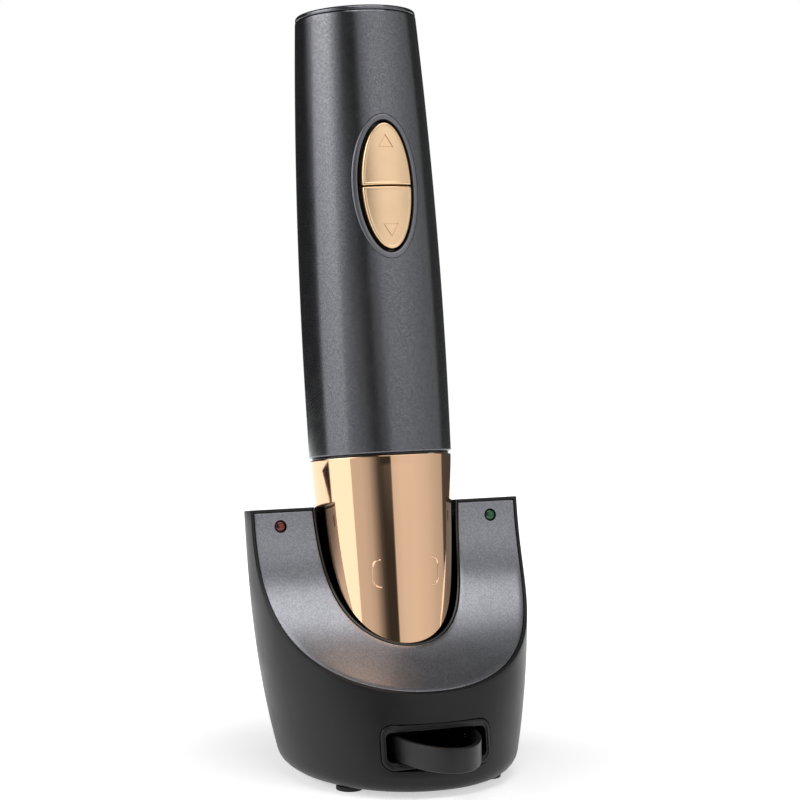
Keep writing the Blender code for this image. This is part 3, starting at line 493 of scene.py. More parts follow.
@dataclass(frozen=True)
class SatinPlate(Finish):
    """Plate over a blasted surface: a soft fine grain that spreads its highlights."""

    grain: float = 0.3
    light: str = "#e7c7a2"

    def pattern(self, tree: bpy.types.NodeTree, shader: bpy.types.Node, place: bpy.types.NodeSocket) -> None:
        """Adds blasted grain and a slight change of tone."""
        fine = self.noise(tree, place, self.grain, 3.0)
        colours = ramp(tree, self.noise(tree, place, 6.0), ((0.3, self.colour), (0.7, self.light)))
        tree.links.new(colours, shader.inputs["Base Color"])
        self.bump(tree, shader, fine, 0.01, 0.08)
        self.vary_roughness(tree, shader, fine, 0.03)


@dataclass(frozen=True)
class Moulded(Finish):
    """Moulded plastic: the spark-eroded grain of the tool, rubbed a little smoother in places."""

    light: str = "#303032"
    grain: float = 0.5
    relief: float = 0.03
    depth: float = 0.25

    def pattern(self, tree: bpy.types.NodeTree, shader: bpy.types.Node, place: bpy.types.NodeSocket) -> None:
        """Adds the tool's grain and handling marks."""
        fine = self.noise(tree, place, self.grain, 3.0)
        broad = self.noise(tree, place, 18.0, 3.0)
        colours = ramp(tree, broad, ((0.35, self.colour), (0.7, self.light)))
        tree.links.new(colours, shader.inputs["Base Color"])
        self.bump(tree, shader, fine, self.relief, self.depth)
        self.vary_roughness(tree, shader, broad, 0.05)


@dataclass(frozen=True)
class Machined(Finish):
    """Machined or drawn metal: fine lines round the opener's axis and light tarnish between them."""

    line: float = 0.35
    light: str = "#c8c8cc"

    def pattern(self, tree: bpy.types.NodeTree, shader: bpy.types.Node, place: bpy.types.NodeSocket) -> None:
        """Stretches a noise into lines that lie square to the leaning axis."""
        lined = node(tree, "Mapping", {"Vector": place, "Rotation": (LEAN, 0, 0), "Scale": (0.06, 0.06, 1)})
        lines = self.noise(tree, lined.outputs[0], self.line, 2.0)
        colours = ramp(tree, self.noise(tree, place, 5.0, 3.0), ((0.3, self.colour), (0.7, self.light)))
        tree.links.new(colours, shader.inputs["Base Color"])
        self.bump(tree, shader, lines, 0.02, 0.25)
        self.vary_roughness(tree, shader, lines, 0.06)


@dataclass(frozen=True)
class Circuit(Finish):
    """Glass-fibre board: green solder mask over copper tracks a millimetre apart."""

    track: str = "#2c6a40"

    def pattern(self, tree: bpy.types.NodeTree, shader: bpy.types.Node, place: bpy.types.NodeSocket) -> None:
        """Draws tracks as the edges of square cells."""
        cells = node(tree, "TexVoronoi", {"Vector": place, "Scale": per_mm(2.2)}, distance="MANHATTAN")
        colours = ramp(tree, cells.outputs["Distance"], ((0.35, self.colour), (0.42, self.track)))
        tree.links.new(colours, shader.inputs["Base Color"])
        self.bump(tree, shader, cells.outputs["Distance"], 0.05, 0.3)


@dataclass(frozen=True)
class Lens(Finish):
    """Tinted epoxy: a dark clear colour, deeper in soft clouds, with a polished face."""

    deep: str = "#200404"

    def pattern(self, tree: bpy.types.NodeTree, shader: bpy.types.Node, place: bpy.types.NodeSocket) -> None:
        """Deepens the tint in soft clouds."""
        colours = ramp(tree, self.noise(tree, place, 1.6), ((0.4, self.deep), (0.62, self.colour)))
        tree.links.new(colours, shader.inputs["Base Color"])


@dataclass
class Palette:
    """Every finish, built once and looked up by the slot that it dresses."""

    made: dict[str, bpy.types.Material] = field(default_factory=dict)

    # Polyurethane lacquer with aluminium flake, sprayed and satin: dark grey with a soft sparkle.
    graphite = FlakeLacquer("graphite_flake_lacquer", "#67686c", 0.2, metallic=0.95,
                            light="#747579", dark="#5a5b5f")
    # The same flake in a lighter mix on the inlay.
    inlay = FlakeLacquer("grey_flake_lacquer", "#808186", 0.3, metallic=0.95,
                         light="#8e8f94", dark="#727378")
    # Satin lacquer on the ring round the buttons, with barely any flake.
    ring = FlakeLacquer("satin_grey_lacquer", "#707176", 0.34, metallic=0.9,
                        light="#76777c", dark="#6a6b70", sparkle=0.04)
    # Stainless steel, polished, then plated with a copper and gold alloy: a warm mirror.
    rose_gold = Plated("polished_rose_gold_plate", "#f7cba6", 0.045, metallic=1.0)
    # The same plate on blasted plastic keys: pale peach with spread highlights.
    satin_rose = SatinPlate("satin_rose_gold_plate", "#e3c29c", 0.3, metallic=1.0)
    # ABS from a finely eroded tool: near black with a dull sheen.
    black = Moulded("matt_black_abs", "#0b0b0c", 0.38, specular=0.32, light="#0f0f10", depth=0.12)
    # The same ABS from a polished part of the tool, as inside the recesses.
    recess = Moulded("gloss_black_abs", "#060607", 0.2, light="#0a0a0b", depth=0.05)
    # Nylon without pigment: milky, soft and slightly waxy.
    natural = Moulded("natural_nylon", "#b8b6ac", 0.5, light="#c8c6be", depth=0.12)
    # Nitrile rubber: charcoal, dry and matt.
    rubber = Moulded("nitrile_rubber", "#161616", 0.8, light="#202020", relief=0.05)
    # Ground carbon steel: bright grey with fine turning lines.
    steel = Machined("ground_steel", "#a8a8ac", 0.26, metallic=1.0)
    # Turned brass: warm yellow with fine turning lines.
    brass = Machined("turned_brass", "#b8924e", 0.28, metallic=1.0, light="#d0ac68")
    board = Circuit("solder_mask_board", "#0e3c20", 0.4)
    # Shrunk PVC wrap over a steel cell: flat green with a soft gloss.
    wrap = Moulded("pvc_cell_wrap", "#1c6038", 0.35, light="#237044", depth=0.06)
    red = Lens("red_epoxy_lens", "#6a1c18", 0.12, deep="#2c0807")
    green = Lens("green_epoxy_lens", "#1e5a34", 0.12, deep="#0a2414")

    def of(self, finish: Finish) -> bpy.types.Material:
        """The finish's material, made the first time that it is asked for."""
        if finish.name not in self.made:
            self.made[finish.name] = finish.build()
        return self.made[finish.name]


PALETTE = Palette()


def add_piece(name: str, bm: bmesh.types.BMesh, place: Matrix, finish: Finish, body: str,
              nodes: Sequence[str] = (), sharp: float = 32.0) -> bpy.types.Object:
    """Turns a bmesh into a finished piece of the object.

    Args:
        name: the piece's name.
        bm: its mesh, in the leaning or the level frame.
        place: the frame that it was shaped in.
        finish: its finish.
        body: the CAD body that it moves with.
        nodes: the CAD nodes that it stands for.
        sharp: edges over this many degrees are shaded as corners.

    Returns:
        The finished object.
    """
    bmesh.ops.transform(bm, matrix=place, verts=bm.verts)
    obj = to_object(name, bm)
    obj.data.materials.clear()
    obj.data.materials.append(PALETTE.of(finish))
    obj.data.shade_smooth()
    obj.data.set_sharp_from_angle(angle=math.radians(sharp))
    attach(obj, body)
    if nodes:
        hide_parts(*nodes)
    LOG.info("%s: %d faces on %s", name, len(obj.data.polygons), body)
    return obj


# ------------------------------------------------------------------ forms that pieces share

@dataclass
class HandleForm:
    """The handle's barrelled side, one long arc."""

    radius: float = 26.05 * MM
    belly_z: float = 52 * MM
    barrel: float = 1986 * MM
    top_z: float = 178.9 * MM

    def at(self, z: float) -> float:
        """The radius at height z."""
        return self.radius - (z - self.belly_z) ** 2 / (2 * self.barrel)

    def wrap(self, x: float, z: float, proud: float) -> Point:
        """The point in front of (x, z) that stands proud of the handle's side."""
        reach = self.at(z) + proud
        return x, -math.sqrt(max(0.0, reach * reach - x * x)), z


@dataclass
class OvalForm:
    """The base's side: a squared oval that narrows towards the foot."""

    top_half_width: float = 51.0 * MM
    foot_half_width: float = 41.0 * MM
    waist: float = 2.64
    centre_y: float = -1.4 * MM
    front_top: float = 40.0 * MM
    front_foot: float = 44.8 * MM
    rear_top: float = 44.0 * MM
    rear_foot: float = 40.0 * MM
    squareness: float = 2.14
    depth: float = 95 * MM

    def sizes(self, z: float, to_front: bool) -> Flat:
        """Half width and depth to the front or the rear at height z."""
        share = max(0.0, min(1.2, -z / self.depth))
        wide = self.top_half_width + (self.foot_half_width - self.top_half_width) * share**self.waist
        if to_front:
            return wide, self.front_top + (self.front_foot - self.front_top) * share
        return wide, self.rear_top + (self.rear_foot - self.rear_top) * share

    def point(self, angle: float, z: float, inset: float = 0.0) -> Flat:
        """(x, y) of the outline at height z; a quarter turn is the front."""
        across, along = math.cos(angle), math.sin(angle)
        wide, deep = self.sizes(z, along > 0)
        power = 2 / self.squareness
        x = (wide - inset) * power_of(across, power)
        return x, self.centre_y - (deep - inset) * power_of(along, power)

    def angle_of(self, x: float, y: float, z: float, inset: float = 0.0) -> float:
        """The angle whose outline point is (x, y) at height z."""
        wide, deep = self.sizes(z, y < self.centre_y)
        power = self.squareness / 2
        along = power_of((self.centre_y - y) / (deep - inset), power)
        return math.atan2(along, power_of(x / (wide - inset), power))

    def front_y(self, x: float, height: float) -> float:
        """The level frame's y of the front above x at this height over the table."""
        y = self.centre_y
        for _ in range(8):
            z = floor_z(y, height)
            wide, deep = self.sizes(z, True)
            y = self.centre_y - deep * (1 - abs(x / wide) ** self.squareness) ** (1 / self.squareness)
        return y * math.cos(LEAN) + z * math.sin(LEAN)


def floor_z(y: float, height: float) -> float:
    """The leaning frame's z where a point at y stands at this height over the table."""
    return y * math.tan(LEAN) - (EAR_HEIGHT - height) / math.cos(LEAN)


@dataclass
class FrontLine:
    """The line from the deck's back, over the ears' front edge, and down the sloped front."""

    drop: float = 0.0
    depth: float = 0.0
    edge: float = 0.5 * MM
    start: float = 3.0 * MM
    sweep: float = 31.9 * MM
    sweep_depth: float = 60 * MM
    power: float = 2.34
    rim_samples: int = 960
    points: list[Flat] = field(default_factory=list)
    lengths: list[float] = field(default_factory=list)

    def __post_init__(self) -> None:
        """Measures the line, from the back."""
        front = -self.start + self.depth
        corner = Vector((front, -self.drop))
        self.points = [(60 * MM, -self.drop), (front + self.edge, -self.drop)]
        for turn in spaced(0, math.pi / 2, 6)[1:-1]:
            self.points.append((corner.x + self.edge * (1 - math.sin(turn)),
                                corner.y - self.edge * (1 - math.cos(turn))))
        low = -self.drop - self.edge
        self.points += [self.off_face(z, self.depth) for z in spaced(low, -92 * MM, 160)]
        self.lengths = [0.0]
        for (y0, z0), (y1, z1) in zip(self.points, self.points[1:]):
            self.lengths.append(self.lengths[-1] + math.hypot(y1 - y0, z1 - z0))

    def face_y(self, z: float) -> float:
        """The sloped front's y at height z."""
        return -(self.start + self.sweep * (max(0.0, -z) / self.sweep_depth) ** self.power)

    def off_face(self, z: float, depth: float) -> Flat:
        """(y, z) of the point that lies depth behind the front at height z, square to it."""
        step = 0.02 * MM
        slope = (self.face_y(z - step) - self.face_y(z + step)) / (2 * step)
        length = math.hypot(1, slope)
        return self.face_y(z) + depth / length, z + depth * slope / length

    def at(self, travel: float) -> Flat:
        """(y, z) after this much travel along the line."""
        k = max(0, min(len(self.lengths) - 2, bisect_right(self.lengths, travel) - 1))
        share = (travel - self.lengths[k]) / (self.lengths[k + 1] - self.lengths[k])
        (y0, z0), (y1, z1) = self.points[k], self.points[k + 1]
        return y0 + (y1 - y0) * share, z0 + (z1 - z0) * share

    def rim(self, outline: Outline, count: int) -> list[tuple[float, float, float]]:
        """Where an upright outline meets the line, in even steps round the rim.

        Args:
            outline: gives (x, y) from an angle and a height.
            count: how many points go round.

        Returns:
            (angle, x, travel) for each point, from the middle of the back.
        """
        fine = []
        for angle in spaced(-math.pi / 2, 1.5 * math.pi, self.rim_samples + 1):
            travel = solve(lambda v: self.at(v)[0] - outline(angle, self.at(v)[1])[1], 0, self.lengths[-1])
            fine.append((angle, outline(angle, self.at(travel)[1])[0], travel))
        run = [0.0]
        for (_, x0, v0), (_, x1, v1) in zip(fine, fine[1:]):
            run.append(run[-1] + math.hypot(x1 - x0, v1 - v0))
        even = []
        for k in range(count):
            want = run[-1] * k / count
            j = max(0, min(len(run) - 2, bisect_right(run, want) - 1))
            share = (want - run[j]) / max(1e-12, run[j + 1] - run[j])
            even.append(tuple(a + (b - a) * share for a, b in zip(fine[j], fine[j + 1])))
        return even


HANDLE = HandleForm()
OVAL = OvalForm()
FRONT = FrontLine()


def sloped_body(oval: OvalForm, line: FrontLine, inset: float, columns: int, walls: int, heel: float,
                lift: float, heel_steps: int = 7, edge: float = 0.0) -> bmesh.types.BMesh:
    """The base's whole form: deck, sloped front, side and rounded heel.

    Args:
        oval: the side's form.
        line: the line of the deck and the front.
        inset: how far the side is drawn in.
        columns: points round the rim.
        walls: rings down the side.
        heel: the heel's radius.
        lift: height of the underside over the table.
        heel_steps: rings round the heel.
        edge: rounding of the rim.

    Returns:
        The closed mesh, in the leaning frame.
    """
    rim = line.rim(lambda angle, z: oval.point(angle, z, inset), columns)
    crease = line.lengths[1]
    centre = Vector((0, crease + 12 * MM, 0))
    flat = [Vector((x, travel, 0)) for _, x, travel in rim]
    shares = [1.0, 0.975, 0.95, 0.9, 0.82, 0.74, 0.66, 0.58, 0.5, 0.4, 0.28, 0.14, 0.03]
    bm = bmesh.new()
    loop = start_loop(bm, flat)
    for share in shares[1:]:
        loop = grow(bm, loop, [centre + (point - centre) * share for point in flat])
    finish_end(bm, loop, Ends.POLE)
    for travel in line.lengths[1:7]:
        bmesh.ops.bisect_plane(bm, geom=bm.verts[:] + bm.edges[:] + bm.faces[:], dist=1e-7,
                               plane_co=(0, travel, 0), plane_no=(0, 1, 0))
    border = {vertex for edge in bm.edges if len(edge.link_faces) == 1 for vertex in edge.verts}
    loop = sorted(border, key=lambda v: math.atan2(v.co.y - centre.y, v.co.x))
    for vertex in bm.verts:
        y, z = line.at(vertex.co.y)
        vertex.co = (vertex.co.x, y, z)
    tops = [vertex.co.copy() for vertex in loop]
    rim_loop = list(loop)
    angles = [oval.angle_of(top.x, top.y, top.z, inset) for top in tops]

    def ring(share: float, drawn: float, rise: float) -> list[Point]:
        """A ring of the side; share 1 is at the top of the heel, and rise is above the underside."""
        points = []
        for top, angle in zip(tops, angles):
            y = oval.centre_y
            for _ in range(6):
                z = top.z + share * (floor_z(y, lift) + rise - top.z)
                x, y = oval.point(angle, z, inset + drawn)
            points.append((x, y, z))
        return points

    for share in spaced(0, 1, walls)[1:]:
        loop = grow(bm, loop, ring(share, 0, heel))
    for turn in spaced(0, math.pi / 2, heel_steps)[1:]:
        loop = grow(bm, loop, ring(1, heel * (1 - math.cos(turn)), heel * (1 - math.sin(turn))))
    finish_end(bm, loop, Ends.FACE)
    bmesh.ops.recalc_face_normals(bm, faces=bm.faces)
    if edge:
        round_edges(bm, edge, 25, 3, loop_edges(bm, rim_loop))
    return bm


# ------------------------------------------------------------------ charging base

@dataclass
class ChargingBase:
    """The black base with its grey inlay, its well and its lights."""

    heel: float = 6.5 * MM
    lift: float = 1.8 * MM
    wall: float = 2.5 * MM
    lip: float = 1.3 * MM
    inlay_thick: float = 1.6 * MM
    gap: float = 0.3 * MM
    well_radius: float = 28.25 * MM
    well_taper: float = 0.065
    liner_wall: float = 0.7 * MM
    well_floor_z: float = -64.3 * MM
    well_floor: float = 2.2 * MM
    light_x: float = 40.2 * MM
    light_z: float = -6.3 * MM
    light_radius: float = 2.0 * MM
    plate_inset: float = 8.5 * MM
    jack_height: float = 17 * MM
    jack_radius: float = 4 * MM
    slot_radius: float = 4.4 * MM

    def build(self) -> None:
        """Makes every piece of the base."""
        self.housing()
        self.inlay()
        self.well()
        self.lights()
        self.jack()
        self.feet()

    def light_holes(self, extra: float) -> list[bmesh.types.BMesh]:
        """Bars that bore the lights' holes."""
        return [
            rod(self.light_radius + extra, (sign * self.light_x, -12 * MM, self.light_z),
                (sign * self.light_x, 12 * MM, self.light_z), 48)
            for sign in (-1, 1)
        ]

    def inlay_form(self, slack: float, front: float, edge: float, columns: int = 220,
                   rows: int = 12) -> bmesh.types.BMesh:
        """The U-shaped inlay on the sloped front.

        Args:
            slack: how much it is grown on its sides and its back.
            front: how far its face stands off the sloped front.
            edge: rounding of its edges.
            columns: steps round the U.
            rows: steps across the U.

        Returns:
            The closed mesh, in the leaning frame.
        """
        top = -self.lip + slack

        def reach(turn: float, outside: bool) -> float:
            """Distance from the U's centre to its inner or outer side."""
            def beyond(r: float) -> float:
                """Falls through zero where the ray leaves the well or the oval."""
                x, z = -r * math.cos(turn), top - r * math.sin(turn)
                y = FRONT.face_y(z)
                if not outside:
                    return (self.hole_radius(z) - slack) ** 2 - x * x - y * y
                wide, deep = OVAL.sizes(z, True)
                inset = self.lip - slack
                power = OVAL.squareness
                along = abs((y - OVAL.centre_y) / (deep - inset)) ** power
                return 1 - abs(x / (wide - inset)) ** power - along
            return solve(beyond, 0, 90 * MM)

        bm = bmesh.new()
        made = bmesh.ops.create_grid(bm, x_segments=columns, y_segments=rows, size=1)["verts"]
        spans = [(reach(math.pi * column / columns, False), reach(math.pi * column / columns, True))
                 for column in range(columns + 1)]
        for vertex in made:
            column = round((vertex.co.x + 1) / 2 * columns)
            turn = math.pi * column / columns
            near, far = spans[column]
            radius = near + (far - near) * (vertex.co.y + 1) / 2
            vertex.co = (-radius * math.cos(turn), 0, top - radius * math.sin(turn))
        grown = bmesh.ops.extrude_face_region(bm, geom=bm.faces[:], use_keep_orig=True)["geom"]
        backs = {item for item in grown if isinstance(item, bmesh.types.BMVert)}
        for vertex in bm.verts:
            depth = self.inlay_thick + slack if vertex in backs else -front
            vertex.co = (vertex.co.x, *FRONT.off_face(vertex.co.z, depth))
        bmesh.ops.recalc_face_normals(bm, faces=bm.faces)
        if edge:
            round_edges(bm, edge, 50, 3)
        return bm

    def hole_radius(self, z: float) -> float:
        """The radius of the inlay's inner edge and of the housing's hole at height z."""
        return self.well_radius + self.well_taper * z

    def housing(self) -> None:
        """The black housing: deck, lip, side, heel and the openings in it."""
        shell = sloped_body(OVAL, FRONT, 0, 300, 18, self.heel, self.lift, edge=0.45 * MM)
        inner_line = FrontLine(drop=2.5 * MM, depth=self.inlay_thick + self.gap + 2.0 * MM, edge=0.4 * MM)
        hollow = sloped_body(OVAL, inner_line, self.wall, 90, 6, self.heel, self.lift + self.wall, 4)
        mouth = loft([[(x, y, z) for x, y in self.underside()] for z in (-1 * MM, self.lift + 8 * MM)])
        recess = self.inlay_form(self.gap, 0.6 * MM, 0.0, 160, 6)
        top, low = 10 * MM, -75 * MM
        bore = turned([(0, top), (self.hole_radius(top), top), (self.hole_radius(low), low), (0, low)], 240)
        to_leaning = LEANING.inverted() @ LEVEL
        low, high = BAY.outer_span(self.gap)
        slot = [(x, -90 * MM, z) for x, z in rounded_box(high[0], low[1], high[1], self.slot_radius)]
        slot_bar = bar(slot, (0, 46 * MM, 0))
        inlet = rod(self.jack_radius + self.gap, (0, 15 * MM, self.jack_height),
                    (0, 60 * MM, self.jack_height), 48)
        for tool in (slot_bar, inlet, mouth):
            bmesh.ops.transform(tool, matrix=to_leaning, verts=tool.verts)
        shell = shaped(shell, Cut.REMOVE, hollow, mouth, recess, slot_bar)
        shell = shaped(shell, Cut.REMOVE, bore, inlet, *self.light_holes(self.gap))
        add_piece("base_housing", shell, LEANING, Palette.black, "base", ["base_shell"])

    def underside(self) -> list[Flat]:
        """The level frame's outline of the opening in the underside."""
        outline = []
        for k in range(96):
            y = OVAL.centre_y
            for _ in range(6):
                z = floor_z(y, self.lift)
                x, y = OVAL.point(TURN * k / 96, z, self.plate_inset)
            outline.append((x, y * math.cos(LEAN) + z * math.sin(LEAN)))
        return outline

    def inlay(self) -> None:
        """The grey inlay, with a softened edge and its two light holes."""
        inlay = self.inlay_form(0.0, 0.0, 0.22 * MM)
        inlay = shaped(inlay, Cut.REMOVE, *self.light_holes(self.gap))
        add_piece("grey_inlay", inlay, LEANING, Palette.inlay, "base", ["base_trim"])

    def liner_at(self, z: float) -> float:
        """The liner's outer radius at height z."""
        return self.hole_radius(z) - self.gap

    def bore_at(self, z: float) -> float:
        """The liner's bore, which narrows with the sleeve."""
        return self.liner_at(z) - self.liner_wall

    def well(self) -> None:
        """The well's cup, whose rim follows the deck and the sloped front."""
        def circle(radius: Callable[[float], float]) -> Outline:
            """An outline of that radius at each height."""
            return lambda angle, z: (radius(z) * math.cos(angle), -radius(z) * math.sin(angle))

        columns = 260
        outer = FRONT.rim(circle(self.liner_at), columns)
        angles = [angle for angle, _, _ in outer]

        def top(radius: Callable[[float], float], angle: float) -> float:
            """Height of the rim at this angle."""
            def behind(travel: float) -> float:
                """How far that point of the line lies behind the wall."""
                y, z = FRONT.at(travel)
                return y + radius(z) * math.sin(angle)
            return FRONT.at(solve(behind, 0, FRONT.lengths[-1]))[1]

        def wall(radius: Callable[[float], float], share: float, foot: float) -> list[Point]:
            """A ring of the wall; share 0 is the rim."""
            ring = []
            for angle, start in zip(angles, starts[radius]):
                z = start + (foot - start) * share
                ring.append((radius(z) * math.cos(angle), -radius(z) * math.sin(angle), z))
            return ring

        bore, outside = self.bore_at, self.liner_at
        starts = {radius: [top(radius, angle) for angle in angles] for radius in (bore, outside)}
        floor, under = self.well_floor_z, self.well_floor_z - self.well_floor
        rings = [[(0.9 * share * x, 0.9 * share * y, floor) for x, y, _ in wall(bore, 1, floor)]
                 for share in (0.05, 0.5, 1.0)]
        rings += [wall(bore, share, floor) for share in spaced(1, 0, 15)]
        rings += [wall(outside, share, under) for share in spaced(0, 1, 10)]
        bm = loft(rings, Ends.POLE, Ends.FACE)
        bm.verts.ensure_lookup_table()
        rims = [edge for edge in bm.edges if len(edge.link_faces) == 2
                and all(abs(v.co.z - self.rim_z(v.co)) < 0.05 * MM for v in edge.verts)]
        round_edges(bm, 0.2 * MM, 40, 3, rims)
        add_piece("well_liner", bm, LEANING, Palette.recess, "base", ["well_cup"], 40)

    def rim_z(self, point: Vector) -> float:
        """Height of the deck or the sloped front above or behind a point."""
        travel = solve(lambda v: FRONT.at(v)[0] - point.y, 0, FRONT.lengths[-1])
        return FRONT.at(travel)[1]

    def lights(self) -> None:
        """A red and a green indicator, each a domed lens behind the inlay's face."""
        r = self.light_radius
        dome = [(0, 0.0), (0.45 * r, -0.05 * r), (0.75 * r, -0.16 * r), (0.93 * r, -0.34 * r), (r, -0.6 * r)]
        profile = [*dome, (r, -6.5 * MM), (0, -6.5 * MM)]
        for name, sign, finish in (("red", -1, Palette.red), ("green", 1, Palette.green)):
            bm = turned(profile, 48)
            turn = Matrix.Rotation(math.pi / 2, 4, "X")
            front = FRONT.face_y(self.light_z) - 0.2 * MM
            shift = Matrix.Translation((sign * self.light_x, front, self.light_z))
            bmesh.ops.transform(bm, matrix=shift @ turn, verts=bm.verts)
            add_piece(f"light_{name}", bm, LEANING, finish, "base",
                      [f"led_{name}"])

    def jack(self) -> None:
        """The charger's socket in the back: a black barrel and a steel pin."""
        back, deep = CAD_SOCKET[1].y - AXIS_Y - 0.1 * MM, 12 * MM
        bore = 2.9 * MM
        barrel = softened([
            (0, 1.5 * MM - deep), (bore, 1.5 * MM - deep), (bore, 0), (self.jack_radius, 0),
            (self.jack_radius, -deep), (0, -deep),
        ], 0.35 * MM)
        pin = softened([
            (0, 1.2 * MM - deep), (0.9 * MM, 1.2 * MM - deep), (0.9 * MM, -0.5 * MM), (0, -0.5 * MM),
        ], 0.4 * MM)
        turn = Matrix.Translation((0, back, self.jack_height)) @ Matrix.Rotation(-math.pi / 2, 4, "X")
        for name, profile, finish, nodes in (
            ("socket_barrel", barrel, Palette.black, ["dc_inlet"]), ("socket_pin", pin, Palette.steel, []),
        ):
            bm = turned(profile, 48)
            bmesh.ops.transform(bm, matrix=turn, verts=bm.verts)
            add_piece(name, bm, LEVEL, finish, "base", nodes)

    def feet(self) -> None:
        """Four rubber pads with a dished sole."""
        for number in range(1, 5):
            low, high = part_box(f"base_foot_{number}")
            centre, radius = (low + high) / 2, (high.x - low.x) / 2
            profile = softened([
                (0, high.z), (radius, high.z), (radius, 0), (radius - 1.1 * MM, 0),
                (radius - 1.6 * MM, 0.35 * MM), (0, 0.35 * MM),
            ], 0.3 * MM)
            bm = turned(profile, 48)
            add_piece(f"rubber_pad_{number}", bm, Matrix.Translation((centre.x, centre.y, 0)), Palette.rubber,
                      "base", [f"base_foot_{number}"])


# ------------------------------------------------------------------ foil cutter

@dataclass
class CutterBay:
    """The foil cutter's bay, with its raised frame, and the cutter that slides in it."""

    half_width: float = 18.4 * MM
    low_z: float = 12.9 * MM
    high_z: float = 23.2 * MM
    front_y: float = -56 * MM
    depth: float = 36 * MM
    wall: float = 1.8 * MM
    low_extra: float = 0.8 * MM
    high_extra: float = 0.7 * MM
    proud: float = 0.5 * MM
    band_half_width: float = 16.0 * MM
    band_height: float = 8.8 * MM
    band_thick: float = 1.8 * MM
    band_proud: float = 24 * MM
    band_bend: float = 10 * MM
    band_soft: float = 0.55 * MM
    arm: float = 33 * MM
    gap: float = 0.3 * MM
    jaw_width: float = 3.6 * MM
    jaw_length: float = 7 * MM
    slot_reach: float = 3 * MM
    slot_room: float = 0.7 * MM
    pin_hole: float = 0.8 * MM

    def outer_span(self, grow_by: float) -> tuple[Flat, Flat]:
        """Low and high corners of the frame, grown on its four sides."""
        side = self.half_width + self.wall + grow_by
        low = self.low_z - self.wall - self.low_extra - grow_by
        return (-side, low), (side, self.high_z + self.wall + self.high_extra + grow_by)

    def build(self) -> None:
        """Makes the bay and the cutter."""
        self.bay()
        self.band()
        self.discs()

    def bay(self) -> None:
        """A box open to the front, whose frame follows the housing's curve in two steps."""
        low, high = self.outer_span(0)
        outside = rounded_box(high[0], low[1], high[1], 4.0 * MM)
        inside = rounded_box(self.half_width, self.low_z, self.high_z, 2.0 * MM)
        back = self.front_y + self.depth

        def between(share: float, proud: float) -> list[Point]:
            """A loop on the front; share 0 is the frame's outside and 1 is its opening."""
            ring = []
            for (x0, z0), (x1, z1) in zip(outside, inside):
                x, z = x0 + (x1 - x0) * share, z0 + (z1 - z0) * share
                ring.append((x, OVAL.front_y(x, z) - proud, z))
            return ring

        edge = (
            (0, -6), (0, 0.15), (0.05, 0.4), (0.14, self.proud / MM), (0.52, self.proud / MM), (0.58, 0.42),
            (0.62, 0.15), (0.9, 0.1), (0.97, 0), (1, -0.25), (1, -5),
        )
        rings = [[(x, back + self.wall, z) for x, z in outside]]
        rings += [between(share, proud * MM) for share, proud in edge]
        rings += [[(x, back, z) for x, z in inside]]
        add_piece("bay_frame", loft(rings), LEVEL, Palette.black, "base", ["cutter_bay"], 38)

    def path(self, inset: float, steps: int = 48) -> list[Flat]:
        """The band's line seen from above, drawn in by inset."""
        start, nose = self.front_y + self.band_bend, self.front_y - self.band_proud + inset
        half, end = self.band_half_width - inset, self.front_y + self.arm
        line = [(-half, end), (-half, (end + start) / 2)]
        for turn in spaced(0, math.pi, steps):
            line.append((-half * math.cos(turn), start - (start - nose) * math.sin(turn)))
        return [*line, (half, (end + start) / 2), (half, end)]

    def band(self) -> None:
        """The sprung U band with its rounded edges and the four jaws that carry the discs."""
        low = self.low_z + self.gap
        high = low + self.band_height
        middle = (low + high) / 2
        outer, inner = self.path(0), self.path(self.band_thick)
        soft, thick = self.band_soft, self.band_thick
        section = []
        for x, z, quarter in ((thick - soft, high - soft, 0), (soft, high - soft, 1), (soft, low + soft, 2),
                              (thick - soft, low + soft, 3)):
            for k in range(5):
                turn = (quarter + k / 4) * math.pi / 2
                section.append(((x + soft * math.cos(turn)) / thick, z + soft * math.sin(turn)))
        rings = [
            [(a[0] + (b[0] - a[0]) * share, a[1] + (b[1] - a[1]) * share, z) for share, z in section]
            for a, b in zip(outer, inner)
        ]
        band = loft(rings)
        jaws, slots, holes = [], [], []
        for number in range(1, 5):
            spot_low, spot_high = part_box(f"cutter_wheel_{number}")
            centre = (spot_low + spot_high) / 2 - Vector((0, AXIS_Y, 0))
            side = math.copysign(1, centre.x)
            out_x = self.half_width - self.gap
            near, far = sorted((side * out_x, side * (out_x - self.jaw_width)))
            half = self.jaw_length / 2
            jaw = block((near, centre.y - half, low), (far, centre.y + half, high))
            jaws.append(round_edges(jaw, 0.5 * MM, 50, 3))
            reach, room = self.slot_reach, self.slot_room
            slots.append(block((near - reach, centre.y - reach, middle - room),
                               (far + reach, centre.y + reach, middle + room)))
            holes.append(rod(self.pin_hole, (centre.x, centre.y, low + 1 * MM),
                             (centre.x, centre.y, high + 1 * MM), 24))
        band = shaped(band, Cut.ADD, *jaws)
        band = shaped(band, Cut.REMOVE, *slots, *holes)
        add_piece("foil_cutter_band", band, LEVEL, Palette.black, "foil_cutter",
                  ["cutter_frame"])

    def discs(self) -> None:
        """Four ground steel discs with a bevelled cutting edge."""
        for number in range(1, 5):
            low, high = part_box(f"cutter_wheel_{number}")
            centre = (low + high) / 2
            radius, thick, bore = (high.x - low.x) / 2, (high.z - low.z) / 2, self.pin_hole
            profile = [(bore, thick), (radius - 0.75 * MM, thick), (radius, 0), (radius - 0.75 * MM, -thick),
                       (bore, -thick)]
            bm = turned(profile, 48, ring=True)
            add_piece(f"disc_blade_{number}", bm, Matrix.Translation(centre), Palette.steel,
                      f"cutter_disc_{number}", [f"cutter_wheel_{number}"], 20)


# ------------------------------------------------------------------ opener

